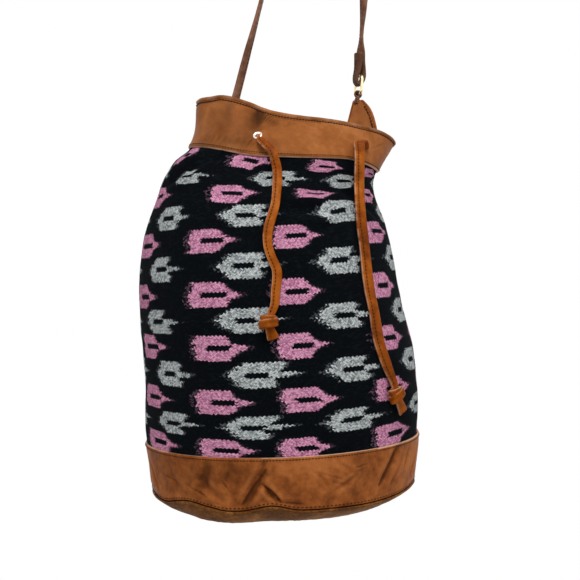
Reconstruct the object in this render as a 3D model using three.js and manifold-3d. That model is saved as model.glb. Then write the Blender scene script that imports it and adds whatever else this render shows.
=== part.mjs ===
// A drawstring bucket bag hung by its shoulder strap: an ikat cloth tube between a leather
// collar and a leather base. Millimetres, +Z up, the front faces -Y, origin at the strap's peg.
import * as THREE from "three";
import { mergeVertices } from "three/addons/utils/BufferGeometryUtils.js";
import Module from "manifold-3d";

const wasm = await Module();
wasm.setup();

// Sheets and fits
const LEATHER = 1.6;
const CLOTH = 1.0;
const LINING = 0.6;
const GAP = 0.3;
const LAP = 6;
const LINING_EASE = 1.6;

// Bag, upwards from the underside of the base
const BASE_SAG = 15.5;
const BASE_WIDTH = 211;
const BASE_DEPTH = 204;
const BASE_FLAT = 80;
const BASE_LOW_SHIFT = -12;
const BAND_HEIGHT = 42;
const BAND_WIDTH = 220;
const BAND_DEPTH = 208;
const BODY_HEIGHT = 224;
const HIP_WIDTH = 222;
const HIP_DEPTH = 207;
const BELLY_WIDTH = 212;
const BELLY_DEPTH = 200;
const SHOULDER_WIDTH = 193;
const SHOULDER_DEPTH = 176;
const WAIST_BELOW_SEAM = 10;
const WAIST_WIDTH = 163;
const WAIST_DEPTH = 136;
const NECK_WIDTH = 152;
const NECK_DEPTH = 126;
const COLLAR_HEIGHT = 35;
const RIM_WIDTH = 160;
const RIM_DEPTH = 94;

// Rim binding
const BINDING_DEEP = 5;
const BINDING = 0.9;

// Eyelets
const EYELET_BORE = 6;
const EYELET_WALL = 0.7;
const EYELET_FLANGE = 10.4;
const EYELET_RIM = 0.9;
const EYELET_SEAT = 0.6;
const EYELET_ROLL = 1.3;
const EYELET_PLACES = {
  front_left: { turn: -19, up: 13.5 },
  front_right: { turn: 49, up: 20 },
  back_right: { turn: 162, up: 17 },
  back_left: { turn: 198, up: 17 },
};

// Drawstring lace and its knots
const LACE = 4.6;
const KNOT_ACROSS = 12.5;
const KNOT_LONG = 9;

// Strap, its tab and its ring
const STRAP_WIDTH = 8.4;
const STRAP_THICK = 3.6;
const STRAP_TURN = 221;
const STRAP_RISE = 380;
const STRAP_SHIFT = 45;
const PEG = 16;
const FOLD_BACK = 25;
const TAB_TURN = 141;
const TAB_FOOT_WIDTH = 30;
const TAB_TOP_WIDTH = 8;
const TAB_ABOVE_RIM = 30;
const TAB_BELOW_RIM = 20;
const TAB_THICK = 2.8;
const LOOP_THICK = 1.7;
const LOOP_WIDTH = 6;
const RING_WIDTH = 15;
const RING_HEIGHT = 18;
const RING_WIRE = 2.4;
const RING_CORNER = 3.2;
const RING_LEAN = 8;

// Facets
const COLUMNS = 60;
const BODY_ROWS = [0, 0.18, 0.36, 0.52, 0.66, 0.78, 0.87, 0.935, 1];
const LINING_ROWS = [1, 0.935, 0.87, 0.78, 0.66, 0.36, 0];

const BAND_SEAM = BASE_SAG + BAND_HEIGHT;
const COLLAR_SEAM = BAND_SEAM + BODY_HEIGHT;
const RIM = COLLAR_SEAM + COLLAR_HEIGHT;
const LEATHER_OUT = GAP + LEATHER;
const BINDING_OUT = LEATHER_OUT + GAP + BINDING;

// The bag's level outlines: centre, width and depth, its rise to the right and to the back, its skew
const outlines = [
  { at: BASE_SAG, x: 0, y: 0, width: BASE_WIDTH, depth: BASE_DEPTH, right: 0.03, back: 0, skew: 0 },
  { at: BAND_SEAM, x: 0, y: 0, width: BAND_WIDTH, depth: BAND_DEPTH, right: 0.036, back: 0.04, skew: 0 },
  {
    at: BAND_SEAM + 0.27 * BODY_HEIGHT,
    x: -3,
    y: 0,
    width: HIP_WIDTH,
    depth: HIP_DEPTH,
    right: 0.02,
    back: 0.03,
    skew: 0,
  },
  {
    at: BAND_SEAM + 0.52 * BODY_HEIGHT,
    x: -10.2,
    y: 0,
    width: BELLY_WIDTH,
    depth: BELLY_DEPTH,
    right: 0,
    back: 0.02,
    skew: 0,
  },
  {
    at: BAND_SEAM + 0.78 * BODY_HEIGHT,
    x: -11.4,
    y: 0,
    width: SHOULDER_WIDTH,
    depth: SHOULDER_DEPTH,
    right: -0.04,
    back: 0.02,
    skew: 0.03,
  },
  {
    at: COLLAR_SEAM - WAIST_BELOW_SEAM,
    x: -7,
    y: 0,
    width: WAIST_WIDTH,
    depth: WAIST_DEPTH,
    right: -0.1,
    back: 0.035,
    skew: 0.05,
  },
  { at: COLLAR_SEAM, x: 1.5, y: 0, width: NECK_WIDTH, depth: NECK_DEPTH, right: -0.117, back: 0.04, skew: 0.06 },
  { at: RIM, x: 13.7, y: 14, width: RIM_WIDTH, depth: RIM_DEPTH, right: -0.21, back: 0.13, skew: 0.2 },
];
const profile = new THREE.CubicInterpolant(
  outlines.map((o) => o.at),
  outlines.flatMap((o) => [o.x, o.y, o.width / 2, o.depth / 2, o.right, o.back, o.skew]),
  7,
);

// Folds gathered into the mouth: where around, how wide and how deep, inward if negative
const folds = [
  { at: -19, wide: 9, deep: -3.2 },
  { at: -40, wide: 13, deep: 2.4 },
  { at: 2, wide: 10, deep: 1.6 },
  { at: -112, wide: 9, deep: -4.2 },
  { at: -95, wide: 8, deep: 1.5 },
  { at: 112, wide: 9, deep: -4.2 },
  { at: 180, wide: 8, deep: -2.6 },
];

const radians = THREE.MathUtils.degToRad;
const smooth = THREE.MathUtils.smoothstep;

function foldAt(turn, level) {
  const strength = smooth(level, BAND_SEAM + 0.7 * BODY_HEIGHT, COLLAR_SEAM + 0.4 * COLLAR_HEIGHT);
  let out = 0;
  for (const fold of folds) {
    const away = THREE.MathUtils.euclideanModulo(turn - radians(fold.at) + Math.PI, 2 * Math.PI) - Math.PI;
    out += fold.deep * Math.exp(-((away / radians(fold.wide)) ** 2));
  }
  return out * strength;
}

// The bag's own surface, which every sheet is measured from. Turn 0 is the front, 90 degrees the right.
function surface(turn, level) {
  const [x, y, halfWidth, halfDepth, right, back, skew] = profile.evaluate(level);
  const out = foldAt(turn, level);
  const across = (halfWidth + out) * Math.sin(turn);
  const along = -(halfDepth + out) * Math.cos(turn);
  return new THREE.Vector3(x + across, y + along + skew * across, level + right * across + back * along);
}

function normal(turn, level) {
  const low = Math.max(level - 1, BASE_SAG);
  const high = Math.min(level + 1, RIM);
  const around = surface(turn + 0.01, level).sub(surface(turn - 0.01, level));
  const upward = surface(turn, high).sub(surface(turn, low));
  return around.cross(upward).normalize();
}

function layer(turn, level, offset) {
  return surface(turn, level).addScaledVector(normal(turn, level), offset);
}

function ring(level, offset) {
  return Array.from({ length: COLUMNS }, (_, i) => layer((i / COLUMNS) * 2 * Math.PI, level, offset));
}

// A closed skin through rings of points, where a ring of one point is a pole
function loft(rings, closed) {
  const points = rings.flat();
  const starts = [0];
  for (const r of rings) {
    starts.push(starts[starts.length - 1] + r.length);
  }
  const faces = [];
  const spans = closed ? rings.length : rings.length - 1;
  for (let i = 0; i < spans; i += 1) {
    const j = (i + 1) % rings.length;
    const count = Math.max(rings[i].length, rings[j].length);
    for (let k = 0; k < count; k += 1) {
      const next = (k + 1) % count;
      const a = starts[i] + (rings[i].length > 1 ? k : 0);
      const b = starts[i] + (rings[i].length > 1 ? next : 0);
      const c = starts[j] + (rings[j].length > 1 ? next : 0);
      const d = starts[j] + (rings[j].length > 1 ? k : 0);
      if (a !== b) {
        faces.push(a, b, c);
      }
      if (c !== d) {
        faces.push(a, c, d);
      }
    }
  }
  let volume = 0;
  for (let i = 0; i < faces.length; i += 3) {
    const cross = points[faces[i + 1]].clone().cross(points[faces[i + 2]]);
    volume += points[faces[i]].dot(cross);
  }
  const geometry = new THREE.BufferGeometry();
  geometry.setFromPoints(points);
  geometry.setIndex(volume < 0 ? faces.reverse() : faces);
  return geometry;
}

// A sheet that goes all around the bag between two offsets from its surface
function shell(levels, inside, outside) {
  const outer = levels.map((level) => ring(level, outside));
  const inner = levels.map((level) => ring(level, inside));
  return loft([...outer, ...inner.reverse()], true);
}

function steps(from, to, count) {
  return Array.from({ length: count + 1 }, (_, i) => from + ((to - from) * i) / count);
}

// Boolean work on closed shapes
function solid(geometry) {
  const plain = geometry.clone();
  plain.deleteAttribute("normal");
  plain.deleteAttribute("uv");
  const merged = mergeVertices(plain, 1e-4);
  const mesh = new wasm.Mesh({
    numProp: 3,
    vertProperties: new Float32Array(merged.attributes.position.array),
    triVerts: new Uint32Array(merged.index.array),
  });
  return new wasm.Manifold(mesh);
}

function geometryOf(manifold) {
  const mesh = manifold.getMesh();
  const geometry = new THREE.BufferGeometry();
  geometry.setAttribute("position", new THREE.BufferAttribute(mesh.vertProperties, 3));
  geometry.setIndex(new THREE.BufferAttribute(mesh.triVerts, 1));
  return geometry;
}

function cut(geometry, tools) {
  return geometryOf(tools.reduce((rest, tool) => rest.subtract(solid(tool)), solid(geometry)));
}

function join(geometry, others) {
  return geometryOf(others.reduce((all, other) => all.add(solid(other)), solid(geometry)));
}

// Turns a shape whose axis is Y so that its axis follows a direction at a point
function stand(geometry, point, direction) {
  const turn = new THREE.Quaternion().setFromUnitVectors(new THREE.Vector3(0, 1, 0), direction);
  return geometry.applyQuaternion(turn).translate(point.x, point.y, point.z);
}

const bag = new THREE.Group();
bag.name = "tapestry_bag";

function add(name, geometry, color, roughness, metalness) {
  const material = new THREE.MeshStandardMaterial({ color, roughness, metalness });
  const mesh = new THREE.Mesh(geometry, material);
  mesh.name = name;
  bag.add(mesh);
}

const TAN = 0xa0623a;
const LACE_TAN = 0xa55c28;
const BROWN = 0x6b4430;
const IKAT = 0x5b464f;
const LINING_CLOTH = 0x4a3b33;
const GOLD = 0xd0b884;

// Base: a round panel that sags to a flat middle, and the same shape for the lining's floor
const lowX = profile.evaluate(BASE_SAG)[0] + BASE_LOW_SHIFT;
const lowY = profile.evaluate(BASE_SAG)[1];

function dome(offset, floor, share) {
  const flat = BASE_FLAT / BASE_WIDTH;
  const reach = (Math.max(share - flat, 0) / (1 - flat)) ** 5;
  return ring(BASE_SAG, offset).map((edge) => {
    const height = floor + (edge.z - floor) * reach;
    return new THREE.Vector3(lowX + (edge.x - lowX) * share, lowY + (edge.y - lowY) * share, height);
  });
}

function drop(points, distance) {
  return points.map((p) => p.clone().setZ(p.z - distance));
}

const shares = [0.96, 0.89, 0.78, 0.62, BASE_FLAT / BASE_WIDTH];
const base = loft(
  [
    [new THREE.Vector3(lowX, lowY, 0)],
    ...shares.map((share) => dome(LEATHER_OUT, 0, share)).reverse(),
    drop(ring(BASE_SAG, LEATHER_OUT), GAP),
    drop(ring(BASE_SAG, GAP), GAP),
    ...shares.map((share) => dome(GAP, LEATHER, share)),
    [new THREE.Vector3(lowX, lowY, LEATHER)],
  ],
  false,
);
add("base", base, TAN, 0.6, 0);

const bandLevels = [BASE_SAG, BASE_SAG + BAND_HEIGHT * 0.4, BAND_SEAM - LAP, BAND_SEAM];
add("base_band", shell(bandLevels, GAP, LEATHER_OUT), TAN, 0.6, 0);

const bodyLevel = (share) => BAND_SEAM + share * BODY_HEIGHT;
const bodyLevels = [BAND_SEAM - LAP, ...BODY_ROWS.map(bodyLevel), COLLAR_SEAM + LAP];
add("body", shell(bodyLevels, -CLOTH, 0), IKAT, 0.95, 0);

// Eyelet places, and the holes for them through collar and lining
const eyelets = Object.entries(EYELET_PLACES).map(([name, place]) => {
  const turn = radians(place.turn);
  const level = COLLAR_SEAM + place.up;
  return { name, turn, level, point: surface(turn, level), out: normal(turn, level) };
});
const barrel = EYELET_BORE / 2 + EYELET_WALL;
const holes = eyelets.map((e) => {
  const drill = new THREE.CylinderGeometry(barrel + GAP, barrel + GAP, 16, 20);
  return stand(drill, e.point, e.out);
});

const COLLAR_MIDDLE = (COLLAR_SEAM + LAP + RIM) / 2;
const collarLevels = [COLLAR_SEAM, COLLAR_SEAM + LAP, COLLAR_MIDDLE, RIM - BINDING_DEEP, RIM];
add("collar", cut(shell(collarLevels, GAP, LEATHER_OUT), holes), TAN, 0.6, 0);

// Lining: loose inside the body, close inside the collar
function liningOut(level) {
  const snug = smooth(level, COLLAR_SEAM + LAP + 0.5, COLLAR_SEAM + LAP + 2.5);
  return THREE.MathUtils.lerp(-CLOTH - LINING_EASE, 0, snug);
}

const liningLevels = [
  RIM,
  RIM - BINDING_DEEP,
  COLLAR_MIDDLE,
  COLLAR_SEAM + LAP + 2.5,
  COLLAR_SEAM + LAP + 0.5,
  ...LINING_ROWS.map(bodyLevel),
  BASE_SAG + 6,
];
const liningShares = [0.94, 0.8, BASE_FLAT / BASE_WIDTH];
const floorOut = -CLOTH - LINING_EASE;
const lining = loft(
  [
    [new THREE.Vector3(lowX, lowY, LEATHER + GAP)],
    ...liningShares.map((share) => dome(floorOut, LEATHER + GAP, share)).reverse(),
    ...liningLevels.map((level) => ring(level, liningOut(level))).reverse(),
    ...liningLevels.map((level) => ring(level, liningOut(level) - LINING)),
    ...liningShares.map((share) => dome(floorOut - LINING, LEATHER + GAP + LINING, share)),
    [new THREE.Vector3(lowX, lowY, LEATHER + GAP + LINING)],
  ],
  false,
);
add("lining", cut(lining, holes), LINING_CLOTH, 0.95, 0);

// Rim binding: a channel over the top edges of collar and lining
function lift(points, height) {
  return points.map((p) => p.clone().setZ(p.z + height));
}

const foot = RIM - BINDING_DEEP;
const liningIn = -LINING - GAP;
const binding = loft(
  [
    ring(foot, BINDING_OUT),
    ring(RIM, BINDING_OUT),
    lift(ring(RIM, LEATHER_OUT), GAP + BINDING),
    lift(ring(RIM, -LINING), GAP + BINDING),
    ring(RIM, liningIn - BINDING),
    ring(foot, liningIn - BINDING),
    ring(foot, liningIn),
    lift(ring(RIM, liningIn), GAP),
    lift(ring(RIM, LEATHER_OUT + GAP), GAP),
    ring(foot, LEATHER_OUT + GAP),
  ],
  true,
);
add("rim_binding", binding, TAN, 0.6, 0);

// Eyelets: a flange outside the collar, a barrel through it and a rolled edge on the lining
for (const e of eyelets) {
  const outer = LEATHER_OUT + EYELET_SEAT;
  const inner = liningOut(e.level) - LINING - 1.6 * EYELET_SEAT;
  const bore = EYELET_BORE / 2;
  const flange = EYELET_FLANGE / 2;
  const section = [
    [bore, inner - EYELET_RIM],
    [barrel + 0.6 * EYELET_ROLL, inner - EYELET_RIM],
    [barrel + EYELET_ROLL, inner],
    [barrel, inner],
    [barrel, outer],
    [flange, outer],
    [flange - 0.3, outer + 0.7 * EYELET_RIM],
    [(flange + bore) / 2, outer + EYELET_RIM],
    [bore, outer + 0.6 * EYELET_RIM],
    [bore, inner - EYELET_RIM],
  ];
  const lathe = new THREE.LatheGeometry(section.map(([r, h]) => new THREE.Vector2(r, h)), 16);
  add(`eyelet_${e.name}`, stand(lathe, e.point, e.out), GOLD, 0.35, 0.9);
}

// Drawstring: its two free ends on the front, as across and down from the eyelet, and extra stand-off
const LEFT_END = [
  [9, 153, 0.6],
  [7, 143.5, 4],
  [9, 137, 1.5],
  [11.5, 130, 0.2],
  [12, 121.5, 0],
  [13, 113.5, 0],
  [13, 106, 0],
  [11, 100.5, 0],
  [8.5, 94.5, 0],
  [6.5, 88, 0],
  [6, 80.5, 0],
  [7, 73, 0],
  [9.5, 64, 0.3],
  [11.5, 56.5, 0.6],
  [12.5, 47.5, 1],
  [13, 38.5, 1.6],
  [13, 30.5, 2.2],
  [11.5, 22.5, 3],
  [8.5, 14.5, 4],
  [3.5, 8, 4.6],
];
const RIGHT_END = [
  [23.5, 203, 0.6],
  [19.5, 192.5, 4],
  [17.5, 183.5, 1.2],
  [14, 175.5, 0],
  [10.5, 165.5, 0],
  [6.5, 154.5, 0],
  [3.5, 140, 0],
  [1.5, 128.5, 0],
  [-0.5, 115.5, 0],
  [-2.5, 103.5, 0.2],
  [-4, 93.5, 0.6],
  [-5, 79, 1.4],
  [-7, 65, 2.4],
  [-8, 51, 3.6],
  [-8, 39, 5],
  [-7.5, 27, 6],
  [-7.5, 17, 6.4],
  [-5.5, 8, 6],
];

// The point on the front of the bag at a place across and up, stood off for the lace
function onFront(e, [aside, down, extra]) {
  const across = e.point.x + aside;
  const height = e.point.z - down;
  let level = height;
  let turn = 0;
  for (let i = 0; i < 30; i += 1) {
    level = THREE.MathUtils.clamp(level + height - surface(turn, level).z, BASE_SAG, RIM);
    const halfWidth = profile.evaluate(level)[2];
    turn += (across - surface(turn, level).x) / (halfWidth * Math.max(Math.cos(turn), 0.3));
    turn = THREE.MathUtils.clamp(turn, -1.4, 1.4);
  }
  const cover = LEATHER_OUT * smooth(level, COLLAR_SEAM - 14, COLLAR_SEAM - 3);
  const away = (cover + LACE / 2 + 2 * GAP + extra) / Math.abs(normal(turn, level).y);
  return surface(turn, level).sub(new THREE.Vector3(0, away, 0));
}

// Through an eyelet from outside to inside, then along the wall
function through(e) {
  const reach = [6.2, 3, 0, -3.4, -6.4];
  return reach.map((offset) => e.point.clone().addScaledVector(e.out, offset));
}

function along(from, to, end, offsets) {
  return offsets.map((offset, i) => {
    const share = (i + 1) / (offsets.length + 1);
    const turn = THREE.MathUtils.lerp(from.turn, end, share);
    return layer(turn, THREE.MathUtils.lerp(from.level, to.level, share), offset);
  });
}

const [frontLeft, frontRight, backRight, backLeft] = eyelets;
const wall = -LINING - LACE / 2 - 1.2;
const side = [wall - 7, wall - 5, wall - 2, wall, wall, wall, wall, wall - 2, wall - 5, wall - 7];
const backWall = LEATHER_OUT + LACE / 2 + 1.2;
const route = [
  ...LEFT_END.map((p) => onFront(frontLeft, p)),
  ...through(frontLeft),
  ...along(frontLeft, backLeft, backLeft.turn - 2 * Math.PI, side),
  ...through(backLeft).reverse(),
  ...along(backLeft, backRight, backRight.turn, [backWall + 6, backWall + 4.5, backWall + 4.5, backWall + 6]),
  ...through(backRight),
  ...along(backRight, frontRight, frontRight.turn, side),
  ...through(frontRight).reverse(),
  ...RIGHT_END.map((p) => onFront(frontRight, p)).reverse(),
];

// A smooth line whose steps follow its own points, so that bends get more of them
class Route extends THREE.CatmullRomCurve3 {
  getUtoTmapping(u) {
    return u;
  }
}

const laceSection = new THREE.Shape();
laceSection.absarc(0, 0, LACE / 2, 0, 2 * Math.PI);
const lace = new THREE.ExtrudeGeometry(laceSection, {
  steps: Math.round(route.length * 1.25),
  curveSegments: 4,
  extrudePath: new Route(route),
});

function knot(center, next) {
  const half = KNOT_LONG / 2;
  const wide = KNOT_ACROSS / 2;
  const section = [
    [0, -half],
    [wide * 0.7, -half],
    [wide, -half * 0.4],
    [wide, half * 0.4],
    [wide * 0.7, half],
    [0, half],
  ];
  const lathe = new THREE.LatheGeometry(section.map(([r, h]) => new THREE.Vector2(r, h)), 12);
  return stand(lathe, center, next.clone().sub(center).normalize());
}

const last = route.length - 1;
const knots = [knot(route[1], route[2]), knot(route[last - 1], route[last - 2])];
add("drawstring", join(lace, knots), LACE_TAN, 0.6, 0);

// A place on the outside of the collar, as a share of a width beside a turn
function beside(turn, distance, level, offset) {
  const speed = surface(turn, level).distanceTo(surface(turn + 0.01, level)) / 0.01;
  return layer(turn + distance / speed, level, offset);
}

// Strap tab: sewn to the back of the collar, over the binding, and narrowing upwards to its loop
const tabTurn = radians(TAB_TURN);
const tabRim = layer(tabTurn, RIM, BINDING_OUT + GAP);
const face = normal(tabTurn, RIM).setZ(0).normalize();
const left = new THREE.Vector3(0, 0, 1).cross(face);

function tabRow(level, rise, halfLeft, halfRight, offset) {
  const inner = steps(-halfRight, halfLeft, 4).map((distance) => {
    const point = beside(tabTurn, distance, level, offset);
    const upright = smooth(rise, 0, TAB_ABOVE_RIM);
    return point.setZ(THREE.MathUtils.lerp(point.z, tabRim.z, upright) + rise);
  });
  const outer = inner.map((point) => point.clone().addScaledVector(face, TAB_THICK));
  return [...inner, ...outer.reverse()];
}

function middleOf(points) {
  const sum = points.reduce((total, p) => total.add(p), new THREE.Vector3());
  return [sum.divideScalar(points.length)];
}

function capped(rings) {
  return loft([middleOf(rings[0]), ...rings, middleOf(rings[rings.length - 1])], false);
}

const footHalf = TAB_FOOT_WIDTH / 2;
const topHalf = TAB_TOP_WIDTH / 2;
const slim = (share) => THREE.MathUtils.lerp(topHalf, footHalf, share);
const tabRows = [
  tabRow(RIM - TAB_BELOW_RIM, 0, slim(0.75), slim(1), LEATHER_OUT + 2 * GAP),
  tabRow(RIM - BINDING_DEEP - 5, 0, slim(0.8), slim(1.15), LEATHER_OUT + 3 * GAP),
  tabRow(RIM - BINDING_DEEP, 0, slim(0.8), slim(1.15), BINDING_OUT + GAP),
  tabRow(RIM, 0, slim(0.75), slim(1.15), BINDING_OUT + GAP),
  tabRow(RIM, TAB_ABOVE_RIM * 0.35, slim(0.45), slim(1.05), BINDING_OUT + GAP),
  tabRow(RIM, TAB_ABOVE_RIM * 0.7, slim(0.15), slim(0.68), BINDING_OUT + GAP),
  tabRow(RIM, TAB_ABOVE_RIM, topHalf, topHalf, BINDING_OUT + GAP),
];
add("strap_tab", capped(tabRows), TAN, 0.6, 0);
const tabFrame = new THREE.Matrix4()
  .makeBasis(left, new THREE.Vector3(0, 0, 1), face)
  .setPosition(tabRim);
// Tab loop: a band of lace that stands on the tab, around the ring's lower bar
const hole = RING_WIRE / 2 + 2 * GAP;
const loopOut = hole + LOOP_THICK;
const loopUp = TAB_ABOVE_RIM + GAP + loopOut + 1;
const loopShape = new THREE.Shape();
loopShape.moveTo(loopOut, 0);
loopShape.absarc(0, 0, loopOut, 0, Math.PI);
loopShape.lineTo(-TAB_TOP_WIDTH / 2 + 0.4, -loopOut - 1);
loopShape.lineTo(TAB_TOP_WIDTH / 2 - 0.4, -loopOut - 1);
loopShape.closePath();
const loopHole = new THREE.Path();
loopHole.absarc(0, 0, hole, 0, 2 * Math.PI, true);
loopShape.holes.push(loopHole);
const loopBand = new THREE.ExtrudeGeometry(loopShape, {
  depth: LOOP_WIDTH,
  bevelEnabled: false,
  curveSegments: 10,
});
loopBand.translate(0, loopUp, TAB_THICK / 2 - LOOP_WIDTH / 2);
add("tab_loop", loopBand.applyMatrix4(tabFrame), LACE_TAN, 0.6, 0);

// Strap ring: a rounded oblong of wire, its lower bar in the tab loop
const barDown = (RING_HEIGHT - RING_WIRE) / 2;
const barOut = (RING_WIDTH - RING_WIRE) / 2;
const straight = { out: barOut - RING_CORNER, down: barDown - RING_CORNER };
const oblong = [];
for (const [i, out, down] of [
  [0, 1, 1],
  [1, -1, 1],
  [2, -1, -1],
  [3, 1, -1],
]) {
  for (const share of [0, 0.25, 0.5, 0.75, 1]) {
    const angle = ((i + share) * Math.PI) / 2;
    const z = out * straight.out + RING_CORNER * Math.cos(angle);
    const y = down * straight.down + RING_CORNER * Math.sin(angle);
    oblong.push({ z, y, angle });
  }
}
const wire = oblong.map(({ z, y, angle }) =>
  Array.from({ length: 10 }, (_, k) => {
    const around = (k / 10) * 2 * Math.PI;
    const reach = (RING_WIRE / 2) * Math.cos(around);
    const x = (RING_WIRE / 2) * Math.sin(around);
    return new THREE.Vector3(x, y + reach * Math.sin(angle), z + reach * Math.cos(angle));
  }),
);
const ringPlace = new THREE.Matrix4()
  .multiply(tabFrame)
  .multiply(new THREE.Matrix4().makeTranslation(0, loopUp, TAB_THICK / 2))
  .multiply(new THREE.Matrix4().makeRotationZ(radians(RING_LEAN)))
  .multiply(new THREE.Matrix4().makeTranslation(0, barDown, 0));
add("strap_ring", loft(wire, true).applyMatrix4(ringPlace), GOLD, 0.3, 0.95);

// Shoulder strap: sewn to the collar, over the peg, around the ring's upper bar and back on itself
const upperBar = new THREE.Vector3(0, barDown, 0).applyMatrix4(ringPlace);
const fold = RING_WIRE / 2 + 1.5 * GAP + STRAP_THICK / 2;
const pressed = STRAP_THICK / 2 + GAP / 2;
const strapTurn = radians(STRAP_TURN);
const sewnFlat = beside(strapTurn, 1, RIM, 0).sub(beside(strapTurn, -1, RIM, 0)).normalize();
const onBinding = BINDING_OUT + STRAP_THICK / 2 + 2 * GAP;
const rimPoint = layer(strapTurn, RIM, onBinding);
const pegTop = new THREE.Vector3(STRAP_SHIFT, (rimPoint.y + upperBar.y) / 2, RIM + STRAP_RISE);
const bend = (PEG + STRAP_THICK) / 2;
const depthways = new THREE.Vector3(0, 1, 0);

function near(origin, sideways, up) {
  return origin.clone().addScaledVector(left, sideways).setZ(origin.z + up);
}

function between(from, to, share, bow) {
  return from.clone().lerp(to, share).add(new THREE.Vector3(bow, 0, 0));
}

function overPeg(degrees) {
  const angle = radians(degrees);
  const center = pegTop.clone().setZ(pegTop.z - PEG / 2);
  return center.add(new THREE.Vector3(bend * Math.cos(angle), 0, bend * Math.sin(angle)));
}

// The strap's line, with the direction of its width at each point
const leftTop = overPeg(172);
const rightTop = overPeg(8);
const leave = rimPoint.clone().add(new THREE.Vector3(3, 2, 12));
const pressedTop = near(upperBar, -pressed, FOLD_BACK);
const strapLine = [
  [layer(strapTurn, COLLAR_SEAM + LAP + 4, LEATHER_OUT + STRAP_THICK / 2 + 2 * GAP), sewnFlat],
  [layer(strapTurn, COLLAR_MIDDLE + 2, onBinding - GAP), sewnFlat],
  [layer(strapTurn, RIM - BINDING_DEEP, onBinding), sewnFlat],
  [rimPoint, sewnFlat],
  [leave, sewnFlat],
  [between(leave, leftTop, 0.12, 1), null],
  [between(leave, leftTop, 0.3, 2.5), null],
  [between(leave, leftTop, 0.5, 3), null],
  [between(leave, leftTop, 0.75, 2), null],
  [leftTop, depthways],
  [overPeg(132), depthways],
  [overPeg(90), depthways],
  [overPeg(48), depthways],
  [rightTop, depthways],
  [between(rightTop, pressedTop, 0.25, 3), null],
  [between(rightTop, pressedTop, 0.5, 6), null],
  [between(rightTop, pressedTop, 0.75, 5), null],
  [between(rightTop, pressedTop, 0.92, 1.6), face],
  [pressedTop, face],
  [near(upperBar, -pressed, 14), face],
  [near(upperBar, -pressed, 8), face],
  [near(upperBar, -fold, 1.2), face],
  [near(upperBar, -fold * 0.72, -fold * 0.72), face],
  [near(upperBar, 0, -fold), face],
  [near(upperBar, fold * 0.72, -fold * 0.72), face],
  [near(upperBar, fold, 1.2), face],
  [near(upperBar, pressed, 8), face],
  [near(upperBar, pressed, 14), face],
  [near(upperBar, pressed, FOLD_BACK), face],
];

// Fills in the width's direction between the points that give one
function widthAt(position) {
  const given = strapLine.map(([, w], i) => [i, w]).filter(([, w]) => w);
  const after = given.find(([i]) => i >= position);
  const before = given.filter(([i]) => i <= position).pop();
  if (after[0] === before[0]) {
    return after[1].clone();
  }
  const share = (position - before[0]) / (after[0] - before[0]);
  const same = before[1].dot(after[1]) < 0 ? -1 : 1;
  return before[1].clone().lerp(after[1].clone().multiplyScalar(same), share).normalize();
}

const strapCurve = new Route(strapLine.map(([p]) => p));
const strapRings = [];
const spans = strapLine.length - 1;
let facing = null;
for (const position of steps(0, spans, spans * 2)) {
  const point = strapCurve.getPoint(position / spans);
  const tangent = strapCurve.getTangent(position / spans);
  const width = widthAt(position);
  width.addScaledVector(tangent, -width.dot(tangent)).normalize();
  if (facing && facing.dot(width) < 0) {
    width.negate();
  }
  facing = width;
  const thick = tangent.clone().cross(width);
  const w = STRAP_WIDTH / 2;
  const t = STRAP_THICK / 2;
  const section = [
    [w, 0.4 * t],
    [w - 0.6 * t, t],
    [-w + 0.6 * t, t],
    [-w, 0.4 * t],
    [-w, -0.4 * t],
    [-w + 0.6 * t, -t],
    [w - 0.6 * t, -t],
    [w, -0.4 * t],
  ];
  strapRings.push(
    section.map(([a, b]) => point.clone().addScaledVector(width, a).addScaledVector(thick, b)),
  );
}
add("shoulder_strap", capped(strapRings), BROWN, 0.6, 0);

// The bag hangs under the peg
bag.position.copy(pegTop).negate();
bag.updateMatrixWorld(true);

export default bag;
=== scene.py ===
# %% [markdown]
# # A drawstring bucket bag of ikat cloth and tan leather
# The bag hangs by its shoulder strap. The packed solids give every size and place, and this lesson
# dresses them. A panel could be sculpted around the bag in one go, but here each is cut flat from
# a grid and rolled into place, as a bag maker would do it, so that its weave, folds and stitches
# follow the cloth.

# %% The packed frame
import math
from collections import namedtuple

import bpy
import numpy as np
from mathutils import Matrix, Vector, noise


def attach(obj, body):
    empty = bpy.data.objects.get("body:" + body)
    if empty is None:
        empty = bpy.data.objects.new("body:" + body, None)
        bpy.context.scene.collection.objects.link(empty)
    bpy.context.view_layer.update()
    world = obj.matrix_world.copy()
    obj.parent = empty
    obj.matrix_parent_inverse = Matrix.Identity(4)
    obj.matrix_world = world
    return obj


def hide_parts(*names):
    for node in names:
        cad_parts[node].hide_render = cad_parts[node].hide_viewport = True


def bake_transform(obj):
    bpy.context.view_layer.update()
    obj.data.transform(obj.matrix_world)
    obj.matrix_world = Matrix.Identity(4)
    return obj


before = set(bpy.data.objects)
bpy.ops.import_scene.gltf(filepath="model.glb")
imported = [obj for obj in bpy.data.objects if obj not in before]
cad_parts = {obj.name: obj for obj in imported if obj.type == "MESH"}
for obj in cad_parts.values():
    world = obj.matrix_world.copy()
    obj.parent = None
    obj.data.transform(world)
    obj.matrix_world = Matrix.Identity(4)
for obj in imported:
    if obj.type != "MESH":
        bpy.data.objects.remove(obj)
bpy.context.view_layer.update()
MM = 0.001

# %% [markdown]
# ## The camera
# The photograph looks level at the bag from about a metre away. Its frame is square and takes in
# 476 mm of width at the bag's middle. The lens could be found by trying, but it follows from that
# width, the distance and the width of the sensor.

# %% Camera
CAMERA_AT = (-0.0384, -1.0041, -0.521)
LEVEL_VIEW = (math.radians(90), 0, 0)
CAMERA_AWAY, FRAME_WIDTH, SENSOR = 0.95, 0.4756, 36


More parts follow.
